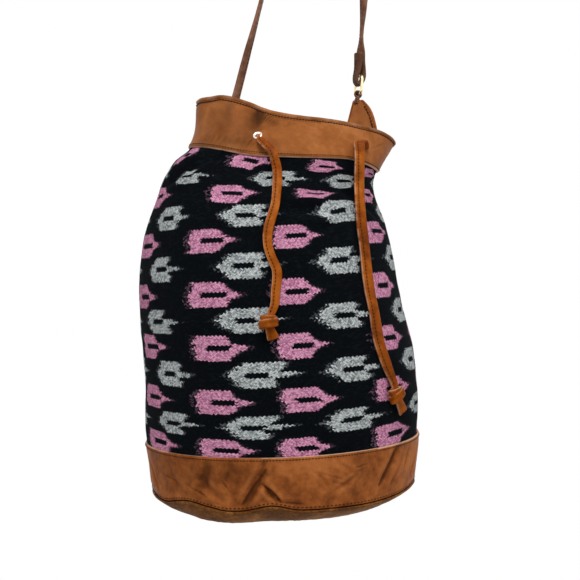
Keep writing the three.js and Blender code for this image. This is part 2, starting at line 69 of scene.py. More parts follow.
def add(primitive, name, **sizes):
    """Adds one object by its operator, with nothing else selected."""
    bpy.ops.object.select_all(action="DESELECT")
    primitive(**sizes)
    made = bpy.context.object
    made.name = made.data.name = name
    return made


camera = add(bpy.ops.object.camera_add, "front_camera", location=CAMERA_AT, rotation=LEVEL_VIEW)
camera.data.sensor_width = SENSOR
camera.data.lens = SENSOR * CAMERA_AWAY / FRAME_WIDTH
bpy.context.scene.camera = camera
print("lens:", round(camera.data.lens, 1), "mm")

# %% [markdown]
# ## The wall of the bag
# All panels share one wall. A bag could be lathed, but this one leans, sags and is drawn in at its
# mouth, so the wall is drawn as eight level outlines with smooth curves between them. From here on
# lengths are in millimetres, measured from the middle of the underside.

# %% Wall outlines
UNDERSIDE = np.array([-45.0, -54.08, -696.5])
BASE_SEAM, BAND_SEAM, COLLAR_SEAM, RIM = 15.5, 57.5, 281.5, 316.5
OUTLINES = np.array([
    # level, middle across and along, half width, half depth, rise to right and to back, skew
    (BASE_SEAM, 0, 0, 105.5, 102, 0.03, 0, 0),
    (BAND_SEAM, 0, 0, 110, 104, 0.036, 0.04, 0),
    (118, -3, 0, 111, 103.5, 0.02, 0.03, 0),
    (174, -10.2, 0, 106, 100, 0, 0.02, 0),
    (232.2, -11.4, 0, 96.5, 88, -0.04, 0.02, 0.03),
    (271.5, -7, 0, 81.5, 68, -0.1, 0.035, 0.05),
    (COLLAR_SEAM, 1.5, 0, 76, 63, -0.117, 0.04, 0.06),
    (RIM, 13.7, 14, 80, 47, -0.21, 0.13, 0.2),
])


def smooth(value, low, high):
    """Goes from 0 at low to 1 at high, with no corner at either end."""
    share = np.clip((value - low) / (high - low), 0, 1)
    return share * share * (3 - 2 * share)


def outline(level):
    """The seven sizes of the wall at each level, on smooth curves through the outlines."""
    at, sizes = OUTLINES[:, 0], OUTLINES[:, 1:]
    secant = np.diff(sizes, axis=0) / np.diff(at)[:, None]
    slope = np.concatenate([secant[:1], (secant[1:] + secant[:-1]) / 2, secant[-1:]])
    i = np.clip(np.searchsorted(at, level, side="right") - 1, 0, len(at) - 2)
    step = (at[i + 1] - at[i])[:, None]
    p = (level - at[i])[:, None] / step
    ends = sizes[i] * (1 + 2 * p) * (1 - p) ** 2 + sizes[i + 1] * p * p * (3 - 2 * p)
    bends = slope[i] * p * (1 - p) ** 2 + slope[i + 1] * p * p * (p - 1)
    return (ends + bends * step).T


print("wall:", len(OUTLINES), "outlines, up to", OUTLINES[-1, 0], "mm")

# %% [markdown]
# A place on the wall is a turn, from 0 at the front to 90 degrees on the right, and a level above
# the underside. The drawstring draws the mouth in, so a few folds are added to the outlines there.
# The way a place faces could be read from a finished mesh, but it is needed before there is one,
# so it is worked out from four places close by.

# %% Places on the wall
# Folds of the mouth: turn and width in degrees, depth
FOLDS = [(-23, 8, -4.8), (-44, 12, 4.0), (2, 10, 1.7), (-112, 9, -4.2), (-95, 8, 1.5),
         (112, 9, -4.2), (180, 8, -2.6)]
FOLDS_FROM, FOLDS_FULL = BAND_SEAM + 157, COLLAR_SEAM + 14
NEAR_TURN, NEAR_LEVEL = 0.01, 1


def turned_from(turn, at):
    """Degrees from one place to each turn, the shorter way around."""
    return (np.degrees(turn) - at + 180) % 360 - 180


def ridges(turn, folds):
    """Upright folds, each with its turn and width in degrees and its depth."""
    height = np.zeros_like(turn)
    for at, wide, deep in folds:
        height += deep * np.exp(-((turned_from(turn, at) / wide) ** 2))
    return height


def bare_wall(turn, level):
    x, y, half_width, half_depth, right, back, skew = outline(level)
    fold = ridges(turn, FOLDS) * smooth(level, FOLDS_FROM, FOLDS_FULL)
    across = (half_width + fold) * np.sin(turn)
    along = -(half_depth + fold) * np.cos(turn)
    height = level + right * across + back * along
    return np.column_stack([x + across, y + along + skew * across, height])


def unit(vectors):
    return vectors / np.maximum(np.linalg.norm(vectors, axis=-1, keepdims=True), 1e-9)


def facing(turn, level):
    """The way out of the bag at each place."""
    sideways = bare_wall(turn + NEAR_TURN, level) - bare_wall(turn - NEAR_TURN, level)
    above, below = np.minimum(level + NEAR_LEVEL, RIM), np.maximum(level - NEAR_LEVEL, BASE_SEAM)
    return unit(np.cross(sideways, bare_wall(turn, above) - bare_wall(turn, below)))


def wall(turn, level, out=0.0):
    """Points at a turn and a level, moved out of the bag."""
    given = (np.atleast_1d(np.asarray(values, float)) for values in (turn, level, out))
    turn, level, out = np.broadcast_arrays(*given)
    return bare_wall(turn, level) + facing(turn, level) * out[:, None]


print("mouth:", np.round(np.ptp(wall(np.linspace(0, 6.28, 90), RIM), axis=0)), "mm")

# %% [markdown]
# ## Cutting and rolling
# A flat grid is the cut piece. Rolling moves each of its corners to its place on the bag, closes
# the seam where the two ends meet, and keeps the flat piece's UV map for weave and grain. The cut
# piece could be bent by a modifier, but the bag's curve is free, so each corner is placed by a
# function of its flat place.

# %% Rolling a sheet
def in_frame(points):
    """Millimetres from the underside, as metres of the packed frame."""
    return (points + UNDERSIDE) * MM


def corners_of(piece):
    corners = np.empty(len(piece.data.vertices) * 3)
    piece.data.vertices.foreach_get("co", corners)
    return corners.reshape(-1, 3)


def spots_of(piece):
    """The corners of a finished piece, in millimetres from the underside."""
    return corners_of(piece) / MM - UNDERSIDE


def in_edit_mode(*steps):
    """Runs steps of edit mode with the whole piece selected."""
    bpy.ops.object.mode_set(mode="EDIT")
    bpy.ops.mesh.select_all(action="SELECT")
    for step in steps:
        step()
    bpy.ops.object.mode_set(mode="OBJECT")


def merge():
    bpy.ops.mesh.remove_doubles(threshold=1e-6)


def face_out():
    bpy.ops.mesh.normals_make_consistent(inside=False)


def roll(name, columns, rows, place, pattern=None, closed=False):
    """Cuts a flat grid and rolls it. The pattern gives its UV map, and a closed piece gets ends."""
    piece = add(bpy.ops.mesh.primitive_grid_add, name, x_subdivisions=columns, y_subdivisions=rows, size=1)
    mesh, flat = piece.data, corners_of(piece)
    u, v = flat[:, 0] + 0.5, flat[:, 1] + 0.5
    mesh.vertices.foreach_set("co", in_frame(place(u, v)).ravel())
    corner = np.empty(len(mesh.loops), int)
    mesh.loops.foreach_get("vertex_index", corner)
    uv = np.column_stack(pattern(u, v) if pattern else (u, v))[corner]
    mesh.uv_layers[0].data.foreach_set("uv", uv.ravel())
    in_edit_mode(merge)
    if closed:
        in_edit_mode(lambda: bpy.ops.mesh.fill_holes(sides=0), face_out)
    bpy.ops.object.shade_smooth()
    return piece


def around(u, finer=None):
    """A panel's flat width as a turn, from back to back. Columns may crowd into a finer part."""
    if finer:
        return np.radians(np.interp(u, *finer))
    return (u - 0.5) * 2 * math.pi


def stepped(v, steps):
    """The row of a list that each flat height falls on."""
    return np.interp(v, np.linspace(0, 1, len(steps)), steps)


print("underside:", np.round(in_frame(np.zeros(3)), 4), "m")

# %% [markdown]
# Creases, dents and rumples are small heights, worked out in the unrolled sheet as if pressed in by
# hand. They could be sculpted, but a list of creases can be read and changed, and the same heights
# paint shade into the leather's colour where it is folded.

# %% Creases, dents and rumples
MM_A_DEGREE = 1.85
RIDGE_AWAY, RIDGE_SHARE = 1.9, 0.5


def rumple(points, size, seed=0.0):
    """Smooth noise between about -1 and 1, with lumps of one size."""
    shift = Vector((seed, 2.3 * seed, -1.7 * seed))
    return np.array([noise.noise(Vector(p) / size + shift) for p in points])


def within(value, start, full, fade, end):
    """Goes from 0 to 1 between the first two values, and back to 0 between the last two."""
    return smooth(value, start, full) * (1 - smooth(value, fade, end))


def pressed(turn, level, creases):
    """Heights of creases from (turn, level) to (turn, level), each with its width and depth."""
    x = np.degrees(turn) * MM_A_DEGREE
    height = np.zeros_like(x)
    for turn_a, level_a, turn_b, level_b, wide, deep in creases:
        bx, by = (turn_b - turn_a) * MM_A_DEGREE, level_b - level_a
        ax, ay = x - turn_a * MM_A_DEGREE, level - level_a
        share = np.clip((ax * bx + ay * by) / (bx * bx + by * by), 0, 1)
        away = np.hypot(ax - share * bx, ay - share * by) / wide
        fade = 0.35 + 0.65 * np.sin(math.pi * share)
        height += deep * fade * (RIDGE_SHARE * np.exp(-((away - RIDGE_AWAY) ** 2)) - np.exp(-away * away))
    return height


def hills(turn, level, places):
    """Soft hills, each with its turn, level, widths of both, and height."""
    height = np.zeros_like(turn)
    for at, middle, wide, tall, high in places:
        away = turned_from(turn, at)
        height += high * np.exp(-((away / wide) ** 2) - ((level - middle) / tall) ** 2)
    return height


def wavy(turn, wave, shifts):
    """A seam's rise at each turn, rounded off between the listed places."""
    where, rise = np.array(wave).T
    near = [np.interp(turned_from(turn, -shift), where, rise) for shift in shifts]
    return sum(near) / len(near)


def wrinkles(points, amount, seed):
    """Fine broken lines on broad lumps, as in leather that has been handled."""
    fine = 1 - np.abs(rumple(points, 9, seed)) / 0.3
    broad = rumple(points, 30, seed + 1)
    return amount * (broad * 0.9 - 0.55 * np.clip(fine, 0, 1) ** 2 * (0.6 + broad))


print("a crease 1 mm deep:", np.round(pressed(np.zeros(1), np.zeros(1), [(0, -5, 0, 5, 1, 1)]), 2))

# %% [markdown]
# A finished panel gets a thickness, notes for its colour, a finish, and its place in the packed
# frame: the solids it stands for and the body it moves with. Its second wall could be extruded in
# edit mode, but Solidify also keeps the distance even around a bend.

# %% Finishing a piece
def apply(piece, kind, **settings):
    bpy.context.view_layer.objects.active = piece
    modifier = piece.modifiers.new(kind.title(), kind)
    for key, value in settings.items():
        setattr(modifier, key, value)
    bpy.ops.object.modifier_apply(modifier=modifier.name)


def thicken(piece, thickness, even=True):
    apply(piece, "SOLIDIFY", thickness=thickness * MM, offset=-1, use_even_offset=even)


def note(piece, name, values):
    """Keeps one number at each corner, for the finish to read."""
    kept = piece.data.attributes.new(name, "FLOAT", "POINT")
    kept.data.foreach_set("value", values.astype(np.float32))


def dress(piece, material, slot, *nodes, body="bag", bends=None):
    """Gives a piece its finish, hides the nodes it stands for and attaches it to the body it moves with.

    A piece given bends keeps its place, with its transform applied, and is attached to no body.
    Its two points are not used.
    """
    piece.data.materials.clear()
    piece.data.materials.append(material)
    if bends:
        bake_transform(piece)
    else:
        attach(piece, body)
    if nodes:
        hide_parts(*nodes)
    print(piece.name, len(piece.data.polygons), "faces")
    return piece


# %% [markdown]
# ## Writing finishes as sums
# A finish is a set of shader nodes, which could be placed and linked one by one. The small class
# below lets the lesson write their maths as plain Python instead: each value is a socket, and
# adding or multiplying two of them adds a Math node.

# %% Shader maths
def operator(operation, reflected=False):
    """A method that adds one Math node, such as ADD for a plus sign."""
    def method(self, *others):
        terms = (*others, self) if reflected else (self, *others)
        return self.nodes.node("Math", {"operation": operation}, dict(enumerate(terms)))
    return method


class Value:
    """A socket that adds Math nodes when it is used in a sum."""

    def __init__(self, nodes, socket):
        self.nodes, self.socket = nodes, socket

    __add__, __radd__ = operator("ADD"), operator("ADD", reflected=True)
    __sub__, __rsub__ = operator("SUBTRACT"), operator("SUBTRACT", reflected=True)
    __mul__, __rmul__ = operator("MULTIPLY"), operator("MULTIPLY", reflected=True)
    __truediv__, __pow__ = operator("DIVIDE"), operator("POWER")
    __abs__, __floor__, __round__ = operator("ABSOLUTE"), operator("FLOOR"), operator("ROUND")
    sine, larger, smaller = operator("SINE"), operator("MAXIMUM"), operator("MINIMUM")


class Nodes:
    """A tree of shader nodes, of a finish or of the world."""

    def __init__(self, tree):
        self.tree = tree

    def node(self, kind, settings=None, inputs=None, output=0):
        """Adds a node, gives it its settings first and then its values or links."""
        made = self.tree.nodes.new("ShaderNode" + kind)
        for key, value in (settings or {}).items():
            if key == "stops":
                self.set_stops(made.color_ramp.elements, value)
            else:
                setattr(made, key, value)
        for key, value in (inputs or {}).items():
            self.feed(made.inputs[key], value)
        return Value(self, made.outputs[output])

    def set_stops(self, ramp, stops):
        while len(ramp) < len(stops):
            ramp.new(0.5)
        for stop, (at, shade) in zip(ramp, stops):
            stop.position = at
            stop.color = (*shade, 1) if hasattr(shade, "__len__") else (shade, shade, shade, 1)

    def feed(self, socket, value):
        if isinstance(value, Value):
            self.tree.links.new(value.socket, socket)
        elif hasattr(value, "__len__") and len(value) == 3 and socket.type == "RGBA":
            socket.default_value = (*value, 1)
        else:
            socket.default_value = value


print("operators:", sum(callable(kept) for kept in vars(Value).values()) - 1)

# %% [markdown]
# The nodes that most finishes share get short names of their own: clouds and cells of a size in
# millimetres, soft steps, mixed colours and bumps. They could be spelled out each time, but with
# names for them a finish reads like a recipe.

# %% Shared nodes of a finish
class Finish(Nodes):
    """A material, made node by node."""

    def __init__(self, name):
        self.material = bpy.data.materials.new(name)
        self.material.use_nodes = True
        super().__init__(self.material.node_tree)

    def set(self, **sockets):
        skin = self.tree.nodes["Principled BSDF"]
        for key, value in sockets.items():
            self.feed(skin.inputs[key.replace("_", " ")], value)
        return self.material

    def place(self):
        return self.node("TexCoord", output="Object")

    def flat(self):
        uv = self.node("TexCoord", output="UV")
        return [self.node("SeparateXYZ", None, {0: uv}, axis) for axis in ("X", "Y")]

    def noted(self, name):
        return self.node("Attribute", {"attribute_name": name}, output="Fac")

    def clouds(self, size, detail=2.0, rough=0.5):
        inputs = {"Scale": 1 / (size * MM), "Detail": detail, "Roughness": rough, "Vector": self.place()}
        return self.node("TexNoise", None, inputs)

    def cells(self, size, feature="F1", at=None):
        inputs = {"Scale": 1 / (size * MM), "Vector": at or self.place()}
        return self.node("TexVoronoi", {"feature": feature}, inputs)

    def ease(self, value, low, high, to_low=0.0, to_high=1.0):
        """A soft step from one number to another, between two values."""
        inputs = {"Value": value, "From Min": low, "From Max": high, "To Min": to_low, "To Max": to_high}
        return self.node("MapRange", {"interpolation_type": "SMOOTHSTEP"}, inputs)

    def mix(self, share, first, second, way="MIX"):
        settings = {"data_type": "RGBA", "blend_type": way}
        return self.node("Mix", settings, {0: share, 6: first, 7: second}, 2)

    def shade(self, colour, amount):
        """A colour made darker or lighter by a number at each place."""
        grey = self.node("CombineXYZ", None, {0: amount, 1: amount, 2: amount})
        return self.mix(1.0, colour, grey, "MULTIPLY")

    def bump(self, height, depth, strength=1.0):
        return self.node("Bump", None, {"Height": height, "Distance": depth * MM, "Strength": strength})


def srgb(*channels):
    """A colour as a screen shows it, turned into the numbers that light works with."""
    return tuple(c / 255 / 12.92 if c < 10 else ((c / 255 + 0.055) / 1.055) ** 2.4 for c in channels)


print("mid grey is", round(srgb(128)[0], 3))

# %% [markdown]
# ## Leather
# Waxed tan leather is never one colour: it is cloudy at the scale of a hand, grainy at the scale
# of a millimetre and paler where it rubs, and shade is painted into it, darker in creases and hollows.
# A painted image could show that, but the panels already note their creases as an attribute, so
# the colour and its painted shade follow the real folds. The base is older leather with a crackled skin.

# %% Leather
RAW_EDGE = srgb(216, 176, 148)
# Places around a lace's section, from 0 to 1
STITCH_LINE, OPEN_EDGE = 0.277, 0.5
CRACK_BEND, CRACK_SCALE = 0.006, 160.0


def worn_and_shaded(made, colour, pale, blotch, scuffs, rub):
    """Paler on ridges and scuffs, with painted shade in creases and hollows, and raw along its edges."""
    crease = made.noted("crease")
    colour = made.mix(made.ease(crease, 0.1, 1.6) * rub, colour, pale)
    # Painted shade: the deeper a crease, the darker it is painted.
    colour = made.shade(colour, made.ease(crease, -1.6, 0.0, 0.52, 1.0))
    colour = made.mix(made.ease(scuffs, 0.6, 0.78) * 0.3, colour, pale)
    # Painted shade in folds, under the rim's roll and in the strap's fold, and darker patches of the band.
    colour = made.shade(colour, 1.0 - made.noted("hollow") * 0.62)
    return made.mix(made.noted("edge") * made.ease(blotch, 0.3, 0.5, 0.5, 0.9), colour, RAW_EDGE)


def lace_groove_shade_and_edge(made, colour, blotch):
    """Painted shade along the groove that the lace's stitches lie in, and its pale open edge."""
    u = made.flat()[0]
    # Painted shade: darker along the stitch groove.
    colour = made.shade(colour, made.ease(abs(u - STITCH_LINE), 0.008, 0.03, 0.78, 1.0))
    edge = made.ease(abs(u - OPEN_EDGE), 0.14, 0.09) * made.ease(blotch, 0.35, 0.55)
    return made.mix(edge * 0.5, colour, RAW_EDGE)


def cracked(made, size):
    """A skin that is 0 in its cracks and 1 between them. Noise bends the cracks."""
    inputs = {"Vector": made.place(), "Scale": CRACK_SCALE, "Detail": 2.0}
    bends = made.node("TexNoise", None, inputs, "Color")
    inputs = {0: bends, 1: (CRACK_BEND, CRACK_BEND, CRACK_BEND), 2: made.place()}
    bent = made.node("VectorMath", {"operation": "MULTIPLY_ADD"}, inputs)
    return made.ease(made.cells(size, "DISTANCE_TO_EDGE", bent), 0.0, 0.2)


def leather(name, deep, middle, pale, grain=0.9, rough=0.5, rub=0.35, lace=False, crackle=None):
    """Waxed leather between three tones. Grain and crackle are sizes, rub is how much ridges pale."""
    made = Finish(name)
    blotch, scuffs = made.clouds(7, 4, 0.62), made.clouds(2.2, 5, 0.7)
    pores, pebble = made.cells(grain), made.cells(grain * 1.7, "SMOOTH_F1")
    tone = made.ease(made.clouds(34, 3, 0.55) * 0.6 + blotch * 0.4, 0.3, 0.7)
    colour = made.node("ValToRGB", {"stops": [(0.0, deep), (0.5, middle), (1.0, pale)]}, {0: tone})
    colour = made.shade(colour, made.ease(pores, 0.0, 0.5, 0.86, 1.04))
    colour = worn_and_shaded(made, colour, pale, blotch, scuffs, rub)
    height = pebble * 0.7 + pores * 0.25 + made.clouds(0.35, 2) * 0.12 + scuffs * 0.35
    if lace:
        colour = lace_groove_shade_and_edge(made, colour, blotch)
    if crackle:
        skin = cracked(made, crackle)
        colour = made.shade(colour, skin * 0.34 + 0.72)
        height = height + skin * 2.0
    gloss = made.ease(blotch, 0.3, 0.7, rough - 0.07, rough + 0.1)
    return made.set(Base_Color=colour, Roughness=gloss, Normal=made.bump(height, 0.16, 0.8),
                    Specular_IOR_Level=0.05)


tan = leather("tan_leather", srgb(134, 77, 36), srgb(154, 91, 44), srgb(176, 111, 62))
russet = leather("russet_band_leather", srgb(108, 56, 24), srgb(153, 86, 40), srgb(186, 113, 60), rub=0.5)
tab_tan = leather("tab_leather", srgb(146, 84, 42), srgb(170, 102, 54), srgb(190, 124, 74))
olive = leather("olive_base_leather", srgb(86, 50, 20), srgb(126, 78, 36), srgb(168, 114, 64),
                rub=0.5, crackle=4.0)
lace_tan = leather("lace_leather", srgb(100, 44, 6), srgb(150, 74, 14), srgb(184, 102, 32),
                   grain=0.6, rough=0.42, lace=True)
brown = leather("strap_leather", srgb(98, 64, 48), srgb(142, 100, 78), srgb(178, 134, 108),
                grain=0.6, rough=0.48)
print("leathers:", len(bpy.data.materials))

# %% [markdown]
# ## Thread and plating
# The thread is twisted, so slanting bands of a wave texture shade it. The eyelets are plated in a
# pale metal and the ring in pale gold, and both have lost some of their shine where they rub. One
# even roughness would look new, so clouds of wear vary it.

# %% Thread and plating
TWIST_SCALE = 900.0


def thread(name, colour):
    made = Finish(name)
    inputs = {"Vector": made.place(), "Scale": TWIST_SCALE, "Distortion": 1.0}
    twist = made.node("TexWave", {"bands_direction": "DIAGONAL"}, inputs)
    shade = made.shade(colour, made.ease(twist, 0.0, 1.0, 0.6, 1.25))
    return made.set(Base_Color=shade, Roughness=0.7, Normal=made.bump(twist, 0.1, 0.6),
                    Specular_IOR_Level=0.08)


def plated(name, colour):
    made = Finish(name)
    wear = made.clouds(1.6, 4, 0.6)
    shade = made.shade(colour, made.ease(wear, 0.35, 0.7, 0.88, 1.05))
    return made.set(Base_Color=shade, Metallic=1.0, Roughness=made.ease(wear, 0.3, 0.7, 0.16, 0.34),
                    Normal=made.bump(made.clouds(0.5, 3), 0.02, 0.4))


dark_thread = thread("dark_thread", srgb(66, 31, 13))
lace_thread = thread("lace_thread", srgb(56, 24, 6))
pale_metal = plated("eyelet_plate", (0.86, 0.83, 0.77))
pale_gold = plated("ring_plate", (0.84, 0.7, 0.42))
print("finishes:", len(bpy.data.materials))

# %% [markdown]
# ## Ikat yarns
# Ikat yarns are dyed in bundles before they are woven, so each motif is crisp along the yarns'
# sides and feathered along their length, where the dye crept under the ties. The pattern could be
# an image, but its rules are simple enough to write down. The cloth's UV map counts motifs: one
# unit across from motif to motif, one unit up from band to band, and bands of pink and of grey
# take turns. Ten yarns make a band, and each has slipped a little by itself.

# %% Ikat yarns
YARNS, FLOATS = 10, 22
HALF_BAND = YARNS / 2
# Degrees around the bag from motif to motif
REPEAT = 39.0


class IkatYarns(Finish):
    """Cloth that knows the band, the motif and the half yarn of each place."""

    def chance(self, first, second, third, output=0):
        """A random number for each set of three counts."""
        key = self.node("CombineXYZ", None, {0: first, 1: second, 2: third})
        return self.node("TexWhiteNoise", {"noise_dimensions": "3D"}, {"Vector": key}, output)

    def count_yarns(self):
        """Counts the bands, the motifs along them, and the half yarns and floats across them."""
        self.u, self.v = self.flat()
        self.band, self.column = math.floor(self.v + 0.5), round(self.u)
        self.grey = abs(self.band - 2 * round(self.band / 2 - 0.25))
        ripple = (self.u * (2 * math.pi * FLOATS)).sine() * 0.2
        self.height_at = (self.v + 0.5 - self.band) * YARNS + ripple
        self.yarn_at = self.height_at.larger(0.01).smaller(YARNS - 0.01)
        self.row = math.floor(self.yarn_at * 2)
        self.off_middle = abs(self.row * 0.5 + 0.25 - HALF_BAND) + 0.2
        self.half_yarn = self.band * (2 * YARNS) + self.row
        self.speck = self.chance(math.floor(self.u * (2 * FLOATS) + self.row * 0.5), self.half_yarn, 0.0)

    def slip_yarns(self):
        """Moves each half yarn along its band, by itself and together with its neighbours."""
        inputs = {0: self.column * 5.3, 1: self.half_yarn * 0.25, 2: 1.0}
        lazy = self.node("CombineXYZ", None, inputs)
        drift = self.node("TexNoise", None, {"Vector": lazy, "Scale": 1.0, "Detail": 1.0})
        alone = self.chance(self.column, self.half_yarn, 7.0)
        slip = (alone - 0.5) * 1.8 + (drift - 0.5) * 3.6 + (self.speck - 0.5) * 1.1
        along = (self.u - self.column) * REPEAT
        lobe = self.chance(self.column, math.floor(self.half_yarn / YARNS), 5.0)
        self.x = along + slip - self.ease(along, 0.0, 5.0) * (lobe - 0.5) * (2.4 + self.grey * 2.6)
        self.slit_x = along + slip * 0.9


print("ikat:", YARNS, "yarns to a band,", FLOATS, "floats to a motif")

# %% [markdown]
# A pink motif is blunt on its left and drawn out on its right. A grey one is drawn out on its left,
# and on its right it has a prong between two lobes. Their outlines could be drawn as meshes, but
# dye follows yarns, so each is a colour ramp that gives its half height along a yarn, and the yarns
# that lie lower than that are dyed.

# %% Ikat dye
LAST_BAND = 12
# Half the height of each motif in yarns, along its length in degrees from the middle of its slit
FISH = [(-11.6, 0), (-10.7, 3.4), (-9.7, 5), (2.9, 5), (4.6, 3.8), (6.1, 2.4), (8, 1.4), (10.8, 0.9),
        (12.6, 0)]
COMB = [(-12.6, 0), (-10.8, 1.3), (-9, 2.6), (-7.2, 4), (-5.6, 5), (7.4, 5), (8.2, 1.1), (13, 0.9),
        (14.5, 0)]
# How many degrees the ramps reach on both sides of that middle
HALF_SPAN = 20


class IkatFinish(IkatYarns):
    """Cloth in which each yarn is dyed by its place in a motif."""

    def profile(self, stops, at):
        curve = [((where + HALF_SPAN) / (2 * HALF_SPAN), high / HALF_BAND) for where, high in stops]
        share = (at + HALF_SPAN) / (2 * HALF_SPAN)
        return self.node("ValToRGB", {"stops": curve}, {0: share}) * HALF_BAND

    def motif(self, at):
        """Half the height of the pink or the grey motif."""
        fish, comb = self.profile(FISH, at), self.profile(COMB, at)
        return fish + (comb - fish) * self.grey

    def slits(self):
        """The dark slit of each motif, and the notch beside the prong of most grey ones."""
        luck = self.chance(self.column, self.band, 3.0, "Color")
        lucky = [self.node("SeparateColor", None, {0: luck}, i) for i in range(3)]
        start, stop = -6.0 + lucky[1] * 1.4, 4.3 + lucky[2] * 1.9 - self.grey * 0.9
        y, uneven = self.off_middle, self.speck - 0.5
        slit = self.ease(self.slit_x, start - 0.4, start + 0.4)
        slit = slit * self.ease(self.slit_x, stop + 0.4, stop - 0.4) * self.ease(y + uneven * 0.2, 1.4, 1.2)
        fork = stop + 0.7 + lucky[0] * 2.6
        notch = self.ease(self.x, fork, fork + 0.6) * self.ease(y, 1.15, 1.3)
        notch = notch * self.ease(y + uneven * 0.3, 3.0, 2.8)
        return slit.larger(notch * self.grey)

    def colours(self, mottle):
        """The dye of the motif that each place belongs to, and the dark ground."""
        bright = self.ease(self.speck * 0.45 + mottle * 0.9, 0.35, 1.0)
        pink = self.mix(bright, srgb(168, 94, 132), srgb(250, 182, 214))
        ash = self.mix(bright, srgb(108, 116, 120), srgb(224, 230, 229))
        night = self.mix(self.clouds(26, 2), srgb(8, 9, 16), srgb(11, 17, 18))
        night = self.mix(self.ease(self.speck, 0.6, 1.0) * 0.5, night, srgb(24, 29, 34))
        return self.mix(self.grey, pink, ash), night

    def dyed(self, mottle):
        """The cloth's colour: crisp motifs, with a feather of thin dye at their ends."""
        y, speck = self.off_middle, self.speck
        body = self.ease(self.motif(self.x) - y + (speck - 0.5) * 0.5, -0.1, 0.2)
        body = body * self.ease(abs(self.height_at - HALF_BAND), 4.8, 4.64)
        border = self.ease(abs(self.v + 0.5 - round(self.v + 0.5)), 0.006, 0.014)
        border = border * self.ease(self.v, LAST_BAND + 0.5, LAST_BAND + 0.46)
        clear = border * (1.0 - self.slits())
        hue, night = self.colours(mottle)
        feather = self.ease(self.motif(self.x * 0.8) - y, -0.2, 0.4) * self.ease(speck, 0.1, 0.9) * clear
        ground = self.mix(feather * 0.3, night, self.mix(0.6, hue, srgb(84, 88, 104)))
        cover = self.ease(mottle + speck * 0.3, 0.34, 0.46, 0.6, 1.0)
        return self.mix(body * clear * cover, ground, hue)

    def weave(self):
        """The height of rounded floats of yarn, each row half a step beside the last."""
        across = abs((self.u * (2 * math.pi * FLOATS) + self.row * (math.pi / 2)).sine())
        along = ((self.yarn_at * 2 - self.row) * math.pi).sine()
        return (across ** 0.6) * (along ** 0.6)


ikat = IkatFinish("ikat_cloth")
ikat.count_yarns()
ikat.slip_yarns()
mottle, floats = ikat.clouds(0.9, 3, 0.7), ikat.weave()
# Painted shade: the cloth is darker where its floats are low, between them.
shaded = ikat.shade(ikat.dyed(mottle), ikat.ease(floats, 0.0, 0.8, 0.55, 1.12))
ikat_cloth = ikat.set(Base_Color=shaded, Roughness=0.95, Specular_IOR_Level=0.03,
                      Normal=ikat.bump(floats + mottle * 0.15, 0.5, 0.7))
print("ikat:", len(ikat.tree.nodes), "nodes")

# %% [markdown]
# ## Lining cotton
# The lining is plain brown cotton. Two sines of its UV map are the threads, and clouds are the
# slubs in them, which is enough for cloth that is only seen through the mouth.

# %% Lining cotton
WEFTS, WARPS = 260, 620


def plain_cotton(name, colour):
    made = Finish(name)
    u, v = made.flat()
    weft, warp = abs((v * (math.pi * WEFTS)).sine()), abs((u * (math.pi * WARPS)).sine())
    slub = made.clouds(5, 3)
    # Painted shade between the threads, and paler slubs.
    shade = made.shade(colour, made.ease(weft * 0.3 + warp * 0.3 + slub * 0.6, 0.2, 1.0, 0.65, 1.15))
    return made.set(Base_Color=shade, Roughness=0.95, Normal=made.bump(weft + warp + slub, 0.2, 0.5),
                    Specular_IOR_Level=0.2)


cotton = plain_cotton("lining_cotton", srgb(86, 68, 56))
print("cloths:", ikat_cloth.name, cotton.name)

# %% [markdown]
# ## The ikat tube
# One width of cloth goes all around and is sewn at the back. Its UV map could be even, but hand
# tying leaves no two bands alike, so each band has its own level, and the motifs on the front have
# their own turns. Further around they follow at an even step.

# %% Ikat bands
BANDS = np.array([62, 79, 96.8, 116, 136, 155.3, 174.2, 195, 214.5, 232, 249, 262.5, 275.5])
# The turn of each motif's middle on the front, in degrees, from the lowest band of each colour up
PINK_TURNS = [(-58, -21.5, 10, 52), (-62, -22, 11.5, 53), (-61, -21.5, 11.5, 56), (-66, -22.5, 12.5, 59),
              (-67, -23.5, 13.5, 62), (-66, -16, 25, 66), (-62, -14, 29, 70)]
GREY_TURNS = [(-47, -9, 29.5, 78), (-48, -7, 32, 73), (-53, -9, 31, 75), (-51, -8, 34, 79),
              (-50, -8, 37, 82), (-44, 4, 44, 86)]
MOTIFS, MOTIF_HALF = 4, 15.0
# How much shorter each motif of a band is than the plain one
PINK_SQUEEZE, GREY_SQUEEZE = np.array([(1, 1, 1.17, 1), (1.22, 1, 1, 1)])
LAP, ROWS_A_BAND, BORDER = 6.0, 9, 0.12

band_number = np.arange(len(BANDS))
borders = np.interp(band_number[:-1] + 0.5, band_number, BANDS)
band_starts = np.concatenate([[BAND_SEAM - LAP], borders])
band_stops = np.concatenate([borders, [COLLAR_SEAM + LAP]])
body_levels = np.concatenate([np.linspace(start + BORDER, stop - BORDER, ROWS_A_BAND)
                              for start, stop in zip(band_starts, band_stops)])


def spread(level):
    """Counts bands upwards, on past the first and the last of them."""
    number = np.interp(level, BANDS, band_number)
    number += np.minimum(level - BANDS[0], 0) / (BANDS[1] - BANDS[0])
    return number + np.maximum(level - BANDS[-1], 0) / (BANDS[-1] - BANDS[-2])


